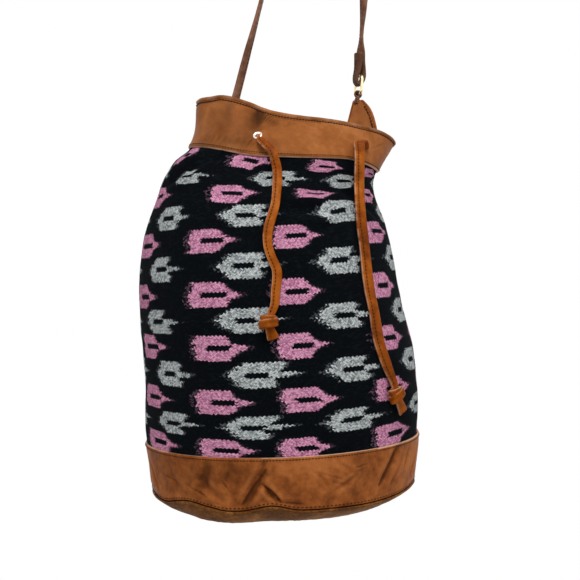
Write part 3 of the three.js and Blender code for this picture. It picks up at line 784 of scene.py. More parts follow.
def count_motifs(turn, band):
    """Counts motifs along one band, from 0 at the leftmost that is listed."""
    turns, squeeze = (GREY_TURNS, GREY_SQUEEZE) if band % 2 else (PINK_TURNS, PINK_SQUEEZE)
    middles = np.array(turns[band // 2], float)
    ends = np.column_stack([middles - MOTIF_HALF, middles + MOTIF_HALF]).ravel()
    reach = MOTIF_HALF / REPEAT * squeeze
    count = np.column_stack([np.arange(MOTIFS) - reach, np.arange(MOTIFS) + reach]).ravel()
    beyond = np.minimum(turn - ends[0], 0) + np.maximum(turn - ends[-1], 0)
    return np.interp(turn, ends, count) + beyond / REPEAT


def ikat_uv(u, v):
    turn, number = np.degrees(around(u)), spread(stepped(v, body_levels))
    nearest = np.clip(np.rint(number), 0, len(BANDS) - 1).astype(int)
    columns = np.zeros_like(turn)
    for band in band_number:
        columns = np.where(nearest == band, count_motifs(turn, band), columns)
    return columns, number


print("bands:", len(BANDS), "in", len(body_levels), "rows of corners")

# %% [markdown]
# Near the collar the cloth is gathered, so small folds run down from the seam, and the sag of the
# bag adds a few slanting ones. A cloth simulation would fold it anyhow, and these folds have to
# lie where they are seen, so they are listed. The bands slide up and down in them as well.

# %% Ikat folds
GATHERS = np.random.default_rng(7).uniform((-180, 2.2, -1.5), (180, 4.6, 1.3), (34, 3))
GATHERS_FROM, GATHERS_FULL = 222, 270
SAGS = [(-34, 274, -68, 252, 5.0, 3.4), (4, 238, 34, 240, 4.5, 3.6), (38, 264, 64, 242, 4.5, 3.0),
        (24, 222, 40, 236, 3.0, 2.2), (-12, 268, 6, 250, 4.0, 1.6), (140, 262, 168, 246, 5.0, 2.2),
        (-150, 266, -120, 248, 5.0, 2.0)]
# Where the cloth lies further in: turn, level, widths of both, depth
DENTS = [(-88, 118, 28, 24, -2.6), (-86, 245, 26, 20, -2.4)]
# Where the cloth has slid up or down in its folds: turn, level, widths of both, rise
DRAPE = [(22, 239, 13, 7, 3.5), (24, 257, 13, 7, -4.0), (42, 236, 9, 9, 2.5), (24, 226, 9, 9, -1.5),
         (-44, 270, 11, 8, -3.6), (-52, 257, 9, 7, -1.0), (-30, 276, 9, 8, 2.0), (-5, 275, 8, 8, -2.4),
         (-30, 240, 12, 9, 1.5), (55, 262, 12, 9, -2.0)]
# How far the bands rise on both sides of the front, in millimetres a degree, by level
TILT_LEVELS = [50, 63, 97, 136, 174, 214, 249, 262, 276, 288]
TILT_LEFT = [0, -0.05, 0, 0.03, 0.06, 0.1, 0.06, 0.04, 0, 0]
TILT_RIGHT = [0, 0.07, 0.06, 0.05, 0.09, 0.16, 0.14, 0.11, 0.06, 0]
TILT_MIDDLE, TILT_TO_LEFT, TILT_TO_RIGHT = -10, -60, 70


def cloth_height(turn, level):
    """Gathers under the collar, and slanting folds where the bag sags."""
    near = within(level, GATHERS_FROM, GATHERS_FULL, COLLAR_SEAM - 2, COLLAR_SEAM + 2)
    clear = within(level, BAND_SEAM - 1, BAND_SEAM + 10, COLLAR_SEAM - 5, COLLAR_SEAM)
    return ridges(turn, GATHERS) * near + pressed(turn, level, SAGS) * clear


def tilt(turn, level):
    """How much higher a band lies beside the front than in its middle."""
    away = np.degrees(turn) - TILT_MIDDLE
    left = np.maximum(away, TILT_TO_LEFT) * np.interp(level, TILT_LEVELS, TILT_LEFT)
    right = np.minimum(away, TILT_TO_RIGHT) * np.interp(level, TILT_LEVELS, TILT_RIGHT)
    return np.where(away < 0, left, right) * (1 - smooth(np.abs(np.degrees(turn)), 85, 170))


def drape(turn, level):
    """How far the cloth has moved up, all told."""
    held = smooth(level, COLLAR_SEAM - 14, COLLAR_SEAM + 2)
    return (hills(turn, level, DRAPE) + tilt(turn, level)) * (1 - held)


print("folds:", len(GATHERS), "gathers and", len(SAGS), "sags")

# %% [markdown]
# The tube is rolled from one grid. Each band has nine rows of corners of its own, and only a hair's
# width of faces between two bands mixes their motifs, where the dye leaves it dark anyway. A thin
# wall then makes it a sheet of cloth.

# %% Ikat body
CLOTH_THICK, BODY_COLUMNS = 0.9, 300


def ikat_place(u, v):
    turn, level = around(u), stepped(v, body_levels)
    level = level + drape(turn, level)
    points = wall(turn, level)
    clear = within(level, BAND_SEAM - 1, BAND_SEAM + 14, COLLAR_SEAM - 8, COLLAR_SEAM)
    soft = (rumple(points, 38, 1) * 1.5 + rumple(points, 15, 2) * 0.55) * clear
    height = cloth_height(turn, level) + soft + hills(turn, level, DENTS)
    return points + facing(turn, level) * height[:, None]


ikat_body = roll("ikat_body", BODY_COLUMNS, len(body_levels) - 1, ikat_place, ikat_uv)
thicken(ikat_body, CLOTH_THICK, even=False)
dress(ikat_body, ikat_cloth, "ikat", "body")

# %% [markdown]
# ## The leather band
# The band is a strip of leather, stitched over the cloth's lower edge and to the round base panel.
# The bag's weight pushes the base out under the seam, most of all left of the middle, so that seam
# waves, and the band is creased above it. A crease could be sculpted, but it is pressed in by its
# two ends instead, a broad soft one first and a narrow sharp one in it.

# %% Shape of the base band
BASE_WAVE = [(-180, 0), (-120, 1), (-90, 2.5), (-75, 2.2), (-62, 0.6), (-56, 0), (-47, 3.2), (-40, 4.6),
             (-31, 1.2), (-22, -2), (-13, -1), (-6, 2.8), (-1, 2.8), (5, -1), (12, -1.6), (34, -1.6),
             (48, -0.6), (62, 1.5), (76, 4), (90, 4.5), (120, 2), (180, 0)]
BASE_ROUNDING = (-2.5, 0, 2.5)
# Turn and level of both ends, width, depth
BROAD_CREASES = [
    (-6.5, 55, -7, 44, 2.6, 1.6), (-7, 44, -14, 19, 3.0, 3.4), (-7, 36, -1, 21, 2.2, 2.6),
    (-1, 21, 9, 19, 2.2, 1.0), (53, 56, 43, 26, 3.2, 2.8), (58, 46, 49, 24, 1.6, 0.9),
    (-29, 52, -33, 28, 4.0, 1.8), (-34, 40, -24, 22, 2.6, 1.2), (-52, 48, -44, 26, 3.0, 1.0),
    (22, 50, 30, 40, 1.6, 0.6), (-20, 50, -22, 36, 3.0, 0.9), (30, 38, 20, 26, 1.8, 0.8),
    (12, 46, 18, 34, 1.4, 0.6), (36, 52, 40, 36, 1.5, 0.7), (64, 52, 60, 34, 2.4, 1.1),
    (-70, 44, -62, 24, 2.2, 1.2), (76, 50, 68, 26, 2.2, 1.2), (104, 50, 112, 24, 2.4, 1.6),
    (140, 48, 131, 22, 2.4, 1.8), (166, 42, 172, 22, 2.0, 1.2), (-110, 50, -102, 24, 2.4, 1.6),
    (-140, 46, -150, 22, 2.4, 1.6), (-168, 44, -160, 26, 2.0, 1.2),
]
SHARP_CREASES = [
    (-5.5, 48, -8, 40, 0.9, 1.2), (-8, 40, -15, 19, 0.9, 2.2), (-7, 36, -2, 27, 0.8, 1.8),
    (-2, 27, 0, 21, 0.8, 1.8), (0, 21, 9, 18.5, 0.8, 1.2), (51, 50, 43, 27, 0.9, 1.8),
    (57, 48, 54, 38, 0.7, 0.9), (14, 44, 24, 37, 0.6, 0.8), (20, 35, 30, 30, 0.6, 0.7),
    (28, 44, 36, 47, 0.6, 0.7), (-40, 33, -30, 24, 0.8, 1.0), (-58, 40, -46, 34, 0.7, 0.8),
    (-24, 40, -20, 28, 0.7, 0.7),
]
BAND_DENTS = [(-90, 40, 26, 16, -2.2)]
SKIN, LEATHER_OUT = 1.5, 1.9
ROLLED = np.array([0, 0.25, 0.6, 1.1, 1.8])
ROLL_REACH, ROLL_SHARE = 1.6, 0.9
SEAM_DEPTH = 0.9
# Where the base has slumped, its seam is drawn in: turn and width in degrees, depth
TUCK = [(-82, 18, 2.5)]


def base_seam(turn):
    return BASE_SEAM + wavy(turn, BASE_WAVE, BASE_ROUNDING)


def tuck(turn):
    """How far the lower edge is drawn in."""
    return ridges(turn, TUCK)


def rounded(distance):
    """How far a folded edge of leather has rolled in, at a distance from its end."""
    share = np.clip(1 - distance / ROLL_REACH, 0, 1)
    return SKIN * ROLL_SHARE * (1 - np.sqrt(1 - share * share))


def back_seam(turn, wide):
    """The groove where the two ends of a strip meet at the back."""
    return ridges(turn, [(180, wide, -SEAM_DEPTH)])


print("base seam:", np.round(np.ptp(base_seam(np.linspace(-3, 3, 99))), 1), "mm of wave")

# %% [markdown]
# The strip is rolled like the cloth. Its rows crowd at both edges, to round them, and its columns
# on the front, where most creases are. An even grid could show as much, but only with far more
# faces. Then the colours' notes are taken: crease heights, which also paint shade into the creases,
# darker patches and the raw upper edge.

# %% Base band
BAND_WIDTH, BAND_DEEPEST = BAND_SEAM - BASE_SEAM, -2.4
BAND_COLUMNS, BAND_FINER = 560, ([0, 0.2, 0.8, 1], [-180, -70, 75, 180])
BAND_MIDDLE_STEP = 20.0
# Turn, level, widths of both, strength
BAND_RUBBED = [(34, 36, 22, 14, 0.5), (-70, 40, 10, 16, 0.5)]
# Where the band is painted darker in patches
BAND_DARK_PATCHES = [(-44, 40, 20, 16, 0.42), (-16, 46, 9, 10, 0.3), (47, 40, 4, 20, 0.25)]
RAW_EDGE_WIDTH = 0.7
band_steps = np.concatenate([ROLLED, np.linspace(2.8, BAND_WIDTH - 2.8, 34), BAND_WIDTH - ROLLED[::-1]])


def band_height(turn, step, level, points):
    """The band's own height, and the creases in it that its colour follows."""
    inner = within(step, 1.5, 7, 36, 41)
    creases = pressed(turn, level, BROAD_CREASES + SHARP_CREASES)
    rough = wrinkles(points, 0.9, 11)
    return back_seam(turn, 0.5) + (creases + rough) * inner, creases + rough * 0.8


def band_place(u, v):
    turn, step = around(u, BAND_FINER), stepped(v, band_steps)
    bottom = base_seam(turn)
    level = bottom + (BAND_SEAM - bottom) * step / BAND_WIDTH
    on_wall = np.maximum(level, BASE_SEAM)
    points = wall(turn, on_wall)
    points[:, 2] += level - on_wall
    height = np.maximum(band_height(turn, step, level, points)[0], BAND_DEEPEST)
    drawn_in = tuck(turn) * (1 - smooth(step, 0, 16)) ** 2 - hills(turn, level, BAND_DENTS)
    out = LEATHER_OUT - rounded(step) - rounded(BAND_WIDTH - step) + height - drawn_in
    return points + facing(turn, on_wall) * out[:, None]


base_band = roll("leather_base_band", BAND_COLUMNS, len(band_steps) - 1, band_place)
spots = spots_of(base_band)
half_width, half_depth = OUTLINES[1, 3:5]
turns = np.arctan2(spots[:, 0] / half_width, -spots[:, 1] / half_depth)
right, back = (np.interp(spots[:, 2], OUTLINES[:2, 0], OUTLINES[:2, k]) for k in (5, 6))
levels = spots[:, 2] - right * spots[:, 0] - back * spots[:, 1]
creases = band_height(turns, np.full(len(turns), BAND_MIDDLE_STEP), levels, spots)[1]
note(base_band, "crease", creases + hills(turns, levels, BAND_RUBBED))
# Darker patches painted on the band.
note(base_band, "hollow", hills(turns, levels, BAND_DARK_PATCHES))
note(base_band, "edge", 1.0 * (levels > BAND_SEAM - RAW_EDGE_WIDTH))
thicken(base_band, SKIN)
dress(base_band, russet, "leather", "base_band")

# %% [markdown]
# ## The base
# The base is a round panel that sags between its seam, deepest left of the middle. A disc could be
# pulled down in edit mode, but its edge has to follow the waving seam, so a grid is rolled into
# rings around the lowest place: flat inside, and curved up to the seam outside.

# %% Base
BASE_LOW = np.array([-22.0, 0.0])
FLAT_SHARE = 0.36
BASE_COLUMNS, BASE_ROWS = 300, 44
SEAM_UNDER, BASE_RADIUS = 0.5, 105
# How steeply the panel rises to its seam, and where it rises more: turn and width in degrees, amount
RISE, RISE_MORE = 3.2, [(-32, 16, 4.2)]
# Where fine lines of painted shade run out to the seam: turn and width in degrees, strength
RAYS = [(-50, 26, 1.0)]


def base_place(u, v):
    turn, share = around(u), 1 - v
    seam = base_seam(turn)
    edge = wall(turn, np.maximum(seam, BASE_SEAM), LEATHER_OUT - SEAM_UNDER)
    edge[:, 2] += np.minimum(seam - BASE_SEAM, 0) - SEAM_UNDER
    edge[:, :2] *= 1 - tuck(turn)[:, None] / BASE_RADIUS
    reach = np.clip((share - FLAT_SHARE) / (1 - FLAT_SHARE), 0, 1) ** (RISE + ridges(turn, RISE_MORE))
    flat = BASE_LOW + (edge[:, :2] - BASE_LOW) * share[:, None]
    points = np.column_stack([flat, edge[:, 2] * reach])
    swell = np.sin(np.clip(share, 0, 1) * math.pi) ** 0.5 * smooth(share, FLAT_SHARE, 0.8)
    points[:, 2] += (wrinkles(points, 1.1, 23) + 0.2) * swell * (1 - smooth(share, 0.93, 1.0))
    return points


base = roll("leather_base", BASE_COLUMNS, BASE_ROWS, base_place)
spots = spots_of(base)
turns = np.arctan2(spots[:, 0], -spots[:, 1])
unrolled = np.column_stack([np.degrees(turns), np.hypot(spots[:, 0], spots[:, 1]) / 9, spots[:, 2] * 0])
ray_shade = np.clip(1 - np.abs(rumple(unrolled, 2.2, 25)) / 0.16, 0, 1) * ridges(turns, RAYS)
# Painted shade in the wrinkles' hollows, paler on their tops, and painted shade along the fine lines.
note(base, "crease", wrinkles(spots, 1.3, 23) - 1.3 * ray_shade)
thicken(base, SKIN)
dress(base, olive, "leather", "base")

# %% [markdown]
# ## The collar
# The collar leans back to the right. The drawstring pulls it in at the left eyelet, so the leather
# folds there and wrinkles fan out to the upper right. They are pressed in like those of the band,
# and loops list the ones that repeat: short gathers along the seam, the fan, and a pucker at each
# back eyelet.

# %% Shape of the collar
PINCH = [(-25, 319, -22, 300, 5.0, 1.3), (-46, 312, -44, 292, 5.0, -1.0), (-25, 292, -21, 286, 1.4, 0.6),
         (-16, 290, -13, 284, 1.3, 0.5), (-31, 291, -30, 284, 1.6, 0.5), (-44, 296, -42, 284, 2.4, 0.5),
         (54, 298, 66, 306, 1.6, 0.5), (40, 300, 30, 306, 1.6, 0.4)]
PINCH += [(turn, 281, turn + 1.5, 289 + turn % 3, 0.9, 0.55) for turn in np.arange(-62, -12, 3.7)]
FAN, BACK_TURNS = 11, (162, -162)
for k in range(FAN):
    bowed = (k - FAN // 2) ** 2
    low, high = 304 + 0.18 * bowed, 311 + 0.16 * bowed - 0.3 * k
    PINCH.append((-19 + 1.45 * k, low, -16.4 + 1.6 * k, high, 0.62, 1.5 - 0.1 * k))
for turn in BACK_TURNS:
    PINCH += [(turn, 316, turn, 302, 3.6, 1.2), (turn - 8, 297, turn - 14, 306, 1.2, 0.5),
              (turn + 8, 297, turn + 15, 305, 1.2, 0.5), (turn - 6, 292, turn - 9, 285, 1.3, 0.5)]
COLLAR_WAVE = [(-180, 0), (-90, 0), (-60, -0.3), (-45, -1), (-30, -2.4), (-18, -3.6), (-7, -3.4), (4, -2),
               (16, 0), (30, 3), (43, 5), (55, 3), (77, 0), (180, 0)]
RIM_WAVE = [(-180, 0), (-120, -3), (-92, -4.8), (-76, -2.2), (-57, 0.6), (-42, 4.2), (-30, 2.6), (-18, -0.5),
            (-2, 0.4), (12, 3.4), (27, 5.2), (38, 5.2), (53, 5.6), (70, 3.4), (88, 0.4), (120, -2), (180, 0)]
COLLAR_ROUNDING = range(-6, 7, 2)


def collar_seam(turn):
    return COLLAR_SEAM + wavy(turn, COLLAR_WAVE, COLLAR_ROUNDING)


def rim_lift(turn, level):
    """The rim's own rise and fall, which fades towards the seam below it."""
    return wavy(turn, RIM_WAVE, COLLAR_ROUNDING) * smooth(level, COLLAR_SEAM + 6, RIM)


def collar_height(turn, level, points):
    """The collar's own height, and the creases in it that its colour follows."""
    inner = within(level, COLLAR_SEAM + 1.5, COLLAR_SEAM + 6, RIM - 6, RIM)
    creases = pressed(turn, level, PINCH)
    rough = wrinkles(points, 0.32, 31)
    return back_seam(turn, 0.7) + creases * np.maximum(inner, 0.25) + rough * inner, creases + rough


print("collar:", len(PINCH), "creases")

# %% [markdown]
# Four holes are punched in the collar, and later in the lining, before they get their thickness. A
# boolean would cut them exactly, but it can leave slivers in a thin curved sheet, and the flange
# of an eyelet covers the edge. So the faces under each flange are picked by their place.

# %% Holes for the eyelets
HOLE_DEPTH = 8
Hole = namedtuple("Hole", "turn level point out")
# Turn in degrees, level above the collar's seam
EYELETS = {"front_left": (-20.7, 12.4), "front_right": (44, 20),
           "back_right": (162, 17), "back_left": (198, 17)}
holes = {}
for name, (turn, up) in EYELETS.items():
    turn, level = math.radians(turn), COLLAR_SEAM + up
    out = facing(np.array([turn]), np.array([level]))[0]
    holes[name] = Hole(turn, level, wall(turn, level)[0], out)


def punch(piece, radius):
    """Deletes the faces within a radius of each hole's axis."""
    bpy.ops.object.mode_set(mode="EDIT")
    bpy.ops.mesh.select_all(action="DESELECT")
    bpy.ops.object.mode_set(mode="OBJECT")
    centers = np.array([face.center for face in piece.data.polygons]) / MM - UNDERSIDE
    for hole in holes.values():
        away = centers - hole.point
        depth = away @ hole.out
        aside = np.linalg.norm(away - depth[:, None] * hole.out, axis=1)
        for i in np.flatnonzero((aside < radius) & (np.abs(depth) < HOLE_DEPTH)):
            piece.data.polygons[i].select = True
    bpy.ops.object.mode_set(mode="EDIT")
    bpy.ops.mesh.delete(type="FACE")
    bpy.ops.object.mode_set(mode="OBJECT")


for name, hole in holes.items():
    print("hole", name, np.round(hole.point, 1))

# %% [markdown]
# The collar is one strip, rolled, punched and thickened. Its colours' notes are worked out from
# the turn and level of each corner. They could be kept from the rolling, but closing the seam
# takes some corners away, so they are found again by stepping along the wall to each corner.

# %% Collar
COLLAR_WIDTH, COLLAR_DEEPEST = RIM - COLLAR_SEAM, -2.6
COLLAR_COLUMNS, COLLAR_FINER = 640, ([0, 0.36, 0.62, 1], [-180, -26, 6, 180])
COLLAR_HOLE = 3.0
# Painted shade in the collar's folds: turn, level, widths of both, strength
COLLAR_PAINTED_SHADE = [(-22, 311.5, 4.5, 5.5, 1.0), (-25.5, 304, 5.5, 11, 0.9), (-42, 304, 4.5, 14, 0.55),
           (-34, 287, 14, 7, 0.6), (-15, 311, 8, 4, 0.4), (-54, 286, 10, 5, 0.3)]
DARKEST = 1.05
# The mouth's half sizes and how far back its middle is, for a first guess, and the bag's rough radius
MOUTH_WIDE, MOUTH_DEEP, MOUTH_BACK, ROUGH_RADIUS = 80, 60, 6, 90
GUESSES = 25
# Lines of painted shade along the rows of stitches: distance from the edge, half width
SEAM_LINE, RIM_LINE, LINE_WIDTH = 1.9, 2.6, 0.7
collar_steps = np.concatenate([ROLLED, np.linspace(2.6, COLLAR_WIDTH, 40)])


def collar_place(u, v):
    turn, step = around(u, COLLAR_FINER), stepped(v, collar_steps)
    bottom = collar_seam(turn)
    level = bottom + (RIM - bottom) * step / COLLAR_WIDTH
    points = wall(turn, level)
    height = np.maximum(collar_height(turn, level, points)[0], COLLAR_DEEPEST)
    points = points + facing(turn, level) * (LEATHER_OUT - rounded(step) + height)[:, None]
    points[:, 2] += rim_lift(turn, level)
    return points


def bag_place(spots):
    """The turn and level of points near the wall, found by stepping towards them."""
    turn = np.arctan2(spots[:, 0] / MOUTH_WIDE, -(spots[:, 1] - MOUTH_BACK) / MOUTH_DEEP)
    level = spots[:, 2].copy()
    for _ in range(GUESSES):
        found = wall(turn, level)
        side = unit(wall(turn + NEAR_TURN, level) - found)
        miss = spots - found
        level = np.clip(level + miss[:, 2], BASE_SEAM, RIM)
        turn = turn + (miss * side).sum(1) / ROUGH_RADIUS
    return turn, level


collar = roll("leather_collar", COLLAR_COLUMNS, len(collar_steps) - 1, collar_place)
spots = spots_of(collar)
turns, levels = bag_place(spots)
levels = levels - rim_lift(turns, levels)
up = levels - collar_seam(turns)
# Painted shade along the rows of stitches, under the rim and above the seam.
stitch_line_shade = [np.exp(-((away / LINE_WIDTH) ** 2)) for away in (up - SEAM_LINE, RIM - levels - RIM_LINE)]
note(collar, "crease", collar_height(turns, levels, spots)[1] - 1.3 * sum(stitch_line_shade))
# Painted shade in the collar's folds around the left eyelet and along its seam there.
note(collar, "hollow", np.minimum(hills(turns, levels, COLLAR_PAINTED_SHADE), DARKEST))
note(collar, "edge", 1 - smooth(up, 0.7, 1.3))
punch(collar, COLLAR_HOLE)
thicken(collar, SKIN)
dress(collar, tan, "leather", "collar")

# %% [markdown]
# ## The rim
# The collar's upper edge is bound by a narrow strip that is folded over it. A curve with a bevel
# could follow the edge, but the binding is open below on the inside, so its own section is rolled
# around the mouth, from the row of stitches outside, over the top and down inside.

# %% Rim
RIM_ROLL = np.array([
    # below the rim, out from the wall, lifted
    (1.7, 1.3, 0), (1.6, 1.9, 0), (1.3, 2.4, 0), (0.8, 2.7, 0), (0.3, 2.75, 0), (0, 2.55, 0.4),
    (0, 2.1, 0.9), (0, 1.4, 1.1), (0, 0.4, 1.0), (0, -0.5, 0.6), (0, -1.0, 0.1), (1.0, -1.4, 0),
    (2.4, -1.4, 0), (3.6, -1.1, 0),
])
RIM_COLUMNS, RIM_ROWS, RIM_THICK = 420, 39, 0.8
RIM_MIDDLE = 0.6


def rim_place(u, v):
    turn = around(u)
    below, out, lift = (stepped(v, column) for column in RIM_ROLL.T)
    points = wall(turn, RIM - below)
    creases = 0.25 * pressed(turn, RIM - below, PINCH[:1])
    ripple = 0.16 * rumple(points, 7, 41)
    points = points + facing(turn, RIM - below) * (out + creases + ripple)[:, None]
    points[:, 2] += lift + rim_lift(turn, RIM - below)
    return points


rim = roll("leather_rim_roll", RIM_COLUMNS, RIM_ROWS, rim_place)
spots = spots_of(rim)
turns, levels = bag_place(spots - [[0, 0, RIM_MIDDLE]])
note(rim, "crease", 0.5 + rumple(spots, 4, 42))
# Painted shade on the roll below its top, outside and inside.
note(rim, "hollow", 0.5 * smooth(RIM - levels + rim_lift(turns, levels), 0.6, 1.6))
note(rim, "edge", 0.24 * smooth(rumple(spots, 9, 43), -0.4, 0.5))
thicken(rim, RIM_THICK)
dress(rim, tan, "leather", "rim_binding")

# %% [markdown]
# ## The lining
# A plain cotton bag hangs inside, sewn in under the rim. It shows only through the mouth, and its
# upper part would do for that, but it is one loose sheet all the same, from the rim down to the
# floor of the bag. It is rolled from the top down, and its last rows close over the floor.

# %% Lining
# Level and distance out of the bag, and the share of the side at which each is reached
LINING_PATH = np.array([(RIM - 0.8, -0.5), (RIM - 9, -0.5), (COLLAR_SEAM + 9, -0.6), (COLLAR_SEAM + 5, -1.8),
                        (COLLAR_SEAM - 8, -3.0), (BAND_SEAM + 100, -3.4), (BAND_SEAM, -3.4),
                        (BASE_SEAM + 6, -3.6)])
LINING_SHARES = [0, 0.06, 0.12, 0.15, 0.2, 0.45, 0.8, 1]
SIDE_SHARE = 0.8
LINING_LOW = np.array([*BASE_LOW, 3.2])
LINING_COLUMNS, LINING_ROWS, LINING_THICK, LINING_HOLE = 200, 110, 0.5, 3.2


def lining_place(u, v):
    turn, down = around(u), 1 - v
    side = np.minimum(down / SIDE_SHARE, 1)
    level, out = (np.interp(side, LINING_SHARES, column) for column in LINING_PATH.T)
    points = wall(turn, level)
    loose = smooth(side, 0.15, 0.3)
    ripple = (rumple(points, 24, 51) - 0.7) * 2.2 + rumple(points, 9, 52) * 0.5
    points = points + facing(turn, level) * (out + ripple * loose)[:, None]
    points[:, 2] += rim_lift(turn, level)
    floor = np.clip((down - SIDE_SHARE) / (1 - SIDE_SHARE), 0, 1)
    sunk = 1 - (1 - floor) ** 3
    return points + (LINING_LOW - points) * np.column_stack([floor, floor, sunk])


lining = roll("cotton_lining", LINING_COLUMNS, LINING_ROWS, lining_place)
in_edit_mode(face_out)
punch(lining, LINING_HOLE)
thicken(lining, LINING_THICK)
dress(lining, cotton, "lining", "lining")

# %% [markdown]
# ## Eyelets
# Four plated eyelets line the holes for the drawstring. One is modelled: the section of its flange
# and barrel is drawn beside the axis and spun around it. A torus would be quicker, but it has no
# funnel for the lace. Each eyelet is then a copy with its own mesh, turned to its place.

# %% Eyelets
EYELET_SECTION = [
    # from the axis, out of the bag
    (1.3, 0.6), (1.6, 1.5), (2.1, 2.3), (2.75, 2.8), (3.3, 2.9), (3.7, 2.7), (3.85, 2.35), (3.75, 2.05),
    (3.4, 1.9), (3.3, 1.5), (3.3, -0.9), (3.6, -1.3), (3.8, -1.9), (3.4, -2.3), (2.4, -2.2), (1.3, -1.5),
]
SPIN_STEPS = 48
SIDEWAYS = np.array([1.0, 0.0, 0.0])


def spin_around():
    bpy.ops.mesh.spin(steps=SPIN_STEPS, angle=2 * math.pi, center=(0, 0, 0), axis=(0, 0, 1))
    bpy.ops.mesh.select_all(action="SELECT")


def axis_frame(point, direction, across):
    """Moves the origin to a point, with Z along a direction and X near another."""
    z = unit(np.asarray(direction, float))
    x = unit(across - z * np.dot(across, z))
    turn = Matrix((x, np.cross(z, x), z)).transposed().to_4x4()
    return Matrix.Translation(Vector(point)) @ turn


def copied(piece, name):
    """A copy with a mesh of its own."""
    copy = piece.copy()
    copy.data = piece.data.copy()
    copy.name = copy.data.name = name
    bpy.context.collection.objects.link(copy)
    return copy


pattern = add(bpy.ops.mesh.primitive_circle_add, "eyelet_pattern", vertices=len(EYELET_SECTION), radius=1)
for corner, (radius, height) in zip(pattern.data.vertices, EYELET_SECTION):
    corner.co = (radius * MM, 0, height * MM)
in_edit_mode(spin_around, merge, face_out)
bpy.ops.object.shade_smooth()
for name, hole in holes.items():
    eyelet = copied(pattern, "eyelet_ring_" + name)
    eyelet.data.transform(axis_frame(in_frame(hole.point), hole.out, SIDEWAYS))
    dress(eyelet, pale_metal, "eyelets", "eyelet_" + name)
bpy.data.meshes.remove(pattern.data)

# %% [markdown]
# ## The drawstring
# The drawstring is a folded strip of leather, stitched near its open edge. Its two free ends hang
# on the front of the bag from the eyelets. A simulation could hang them, but they have to lie as
# they are seen, so their routes repeat the points of the solid cord: across and down from the
# eyelet, and how far off the bag.

# %% Lace routes
LEFT_END = [(3.4, 5.2, 3.0), (10.6, 12.8, 3.0), (13.6, 21.3, 2.6), (15.1, 29.3, 2.2), (15.1, 37.3, 1.6),
            (14.6, 46.3, 1), (13.6, 55.3, 0.6), (11.6, 62.8, 0.3), (9.1, 71.8, 0), (8.1, 79.3, 0),
            (8.6, 86.8, 0), (10.6, 93.3, 0), (13.1, 99.3, 0), (15.1, 104.8, 0), (15.1, 112.3, 0),
            (14.1, 120.3, 0), (13.6, 128.8, 0.2), (11.1, 135.8, 1.5), (9.1, 142.3, 3.4), (12.6, 154.8, 0.6)]
RIGHT_END = [(-1.8, 4, 3.4), (-2, 10.9, 3.6), (-2.2, 20, 3.8), (-2.4, 29.6, 3.6), (-2.4, 39, 3.2),
             (-2.3, 48, 2.8), (-1.7, 61.7, 2.4), (-0.1, 75.9, 1.9), (1.5, 92.9, 1.3), (2.6, 103.5, 1),
             (4.2, 115.1, 0.8), (6.4, 126, 0.8), (8.2, 136.5, 0.8), (9.6, 146, 0.8), (11.4, 154.5, 0.8),
             (15.1, 165.5, 0.8), (18.9, 175.5, 0.8), (22.4, 183.5, 1.6), (24.4, 192.5, 3.4),
             (30.6, 207.3, 0.6)]
LACE_WIDTH, LACE_THICK, LACE_CLEAR = 8.0, 3.0, 0.9
FRONT_GUESSES, WIDEST_TURN, LEAST_COSINE = 30, 1.4, 0.3


def on_front(start, route):
    """Points of a route laid on the front of the bag, and the way the bag faces under them."""
    aside, down, extra = np.array(route, float).T
    across, height = start[0] + aside, start[2] - down
    level, turn = height.copy(), np.zeros_like(height)
    for _ in range(FRONT_GUESSES):
        level = np.clip(level + height - wall(turn, level)[:, 2], BASE_SEAM, RIM)
        half = outline(level)[2] * np.maximum(np.cos(turn), LEAST_COSINE)
        turn = np.clip(turn + (across - wall(turn, level)[:, 0]) / half, -WIDEST_TURN, WIDEST_TURN)
    face = facing(turn, level)
    cover = LEATHER_OUT * smooth(level, COLLAR_SEAM - 14, COLLAR_SEAM - 3)
    cloth = np.maximum(cloth_height(turn, level), 0)
    points = wall(turn, level)
    points[:, 1] -= (cover + cloth + LACE_THICK / 2 + LACE_CLEAR + extra) / np.abs(face[:, 1])
    return points, face


def run_of(line):
    """How far along a line each of its points is."""
    return np.concatenate([[0], np.cumsum(np.linalg.norm(np.diff(line[:, :3], axis=0), axis=1))])


def smooth_line(points, spacing=1.0):
    """A smooth line through points, in even steps. Further columns are carried along."""
    points = np.asarray(points, float)
    held = np.vstack([2 * points[0] - points[1], points, 2 * points[-1] - points[-2]])
    t = np.linspace(0, 1, 20, endpoint=False)[:, None]
    fine = []
    for a, b, c, d in zip(held, held[1:], held[2:], held[3:]):
        bends = (2 * a - 5 * b + 4 * c - d) * t ** 2 + (3 * b - a - 3 * c + d) * t ** 3
        fine.append(b + 0.5 * ((c - a) * t + bends))
    fine = np.vstack([*fine, points[-1:]])
    run = run_of(fine)
    at = np.linspace(0, run[-1], max(int(run[-1] / spacing), 2) + 1)
    return np.column_stack([np.interp(at, run, column) for column in fine.T]), at


for side, route in (("left", LEFT_END), ("right", RIGHT_END)):
    print("lace", side, len(route), "points")

# %% [markdown]
# A lace, a strap, a loop or a bead is one strip: a flat section with round edges, swept along a
# line. A curve with a bevel would do for a round cord, but a flat strip also has to know which way
# its face looks, so it is rolled from a grid, and its UV map runs around and along it.

# %% Strips
GROOVE_DEPTH, GROOVE_WIDTH = 0.5, 0.16


def frames(line, across):
    """Across, along and out of a flat strip at each point of its line."""
    along = unit(np.gradient(line, axis=0))
    across = unit(across - along * (across * along).sum(1, keepdims=True))
    return across, along, np.cross(along, across)


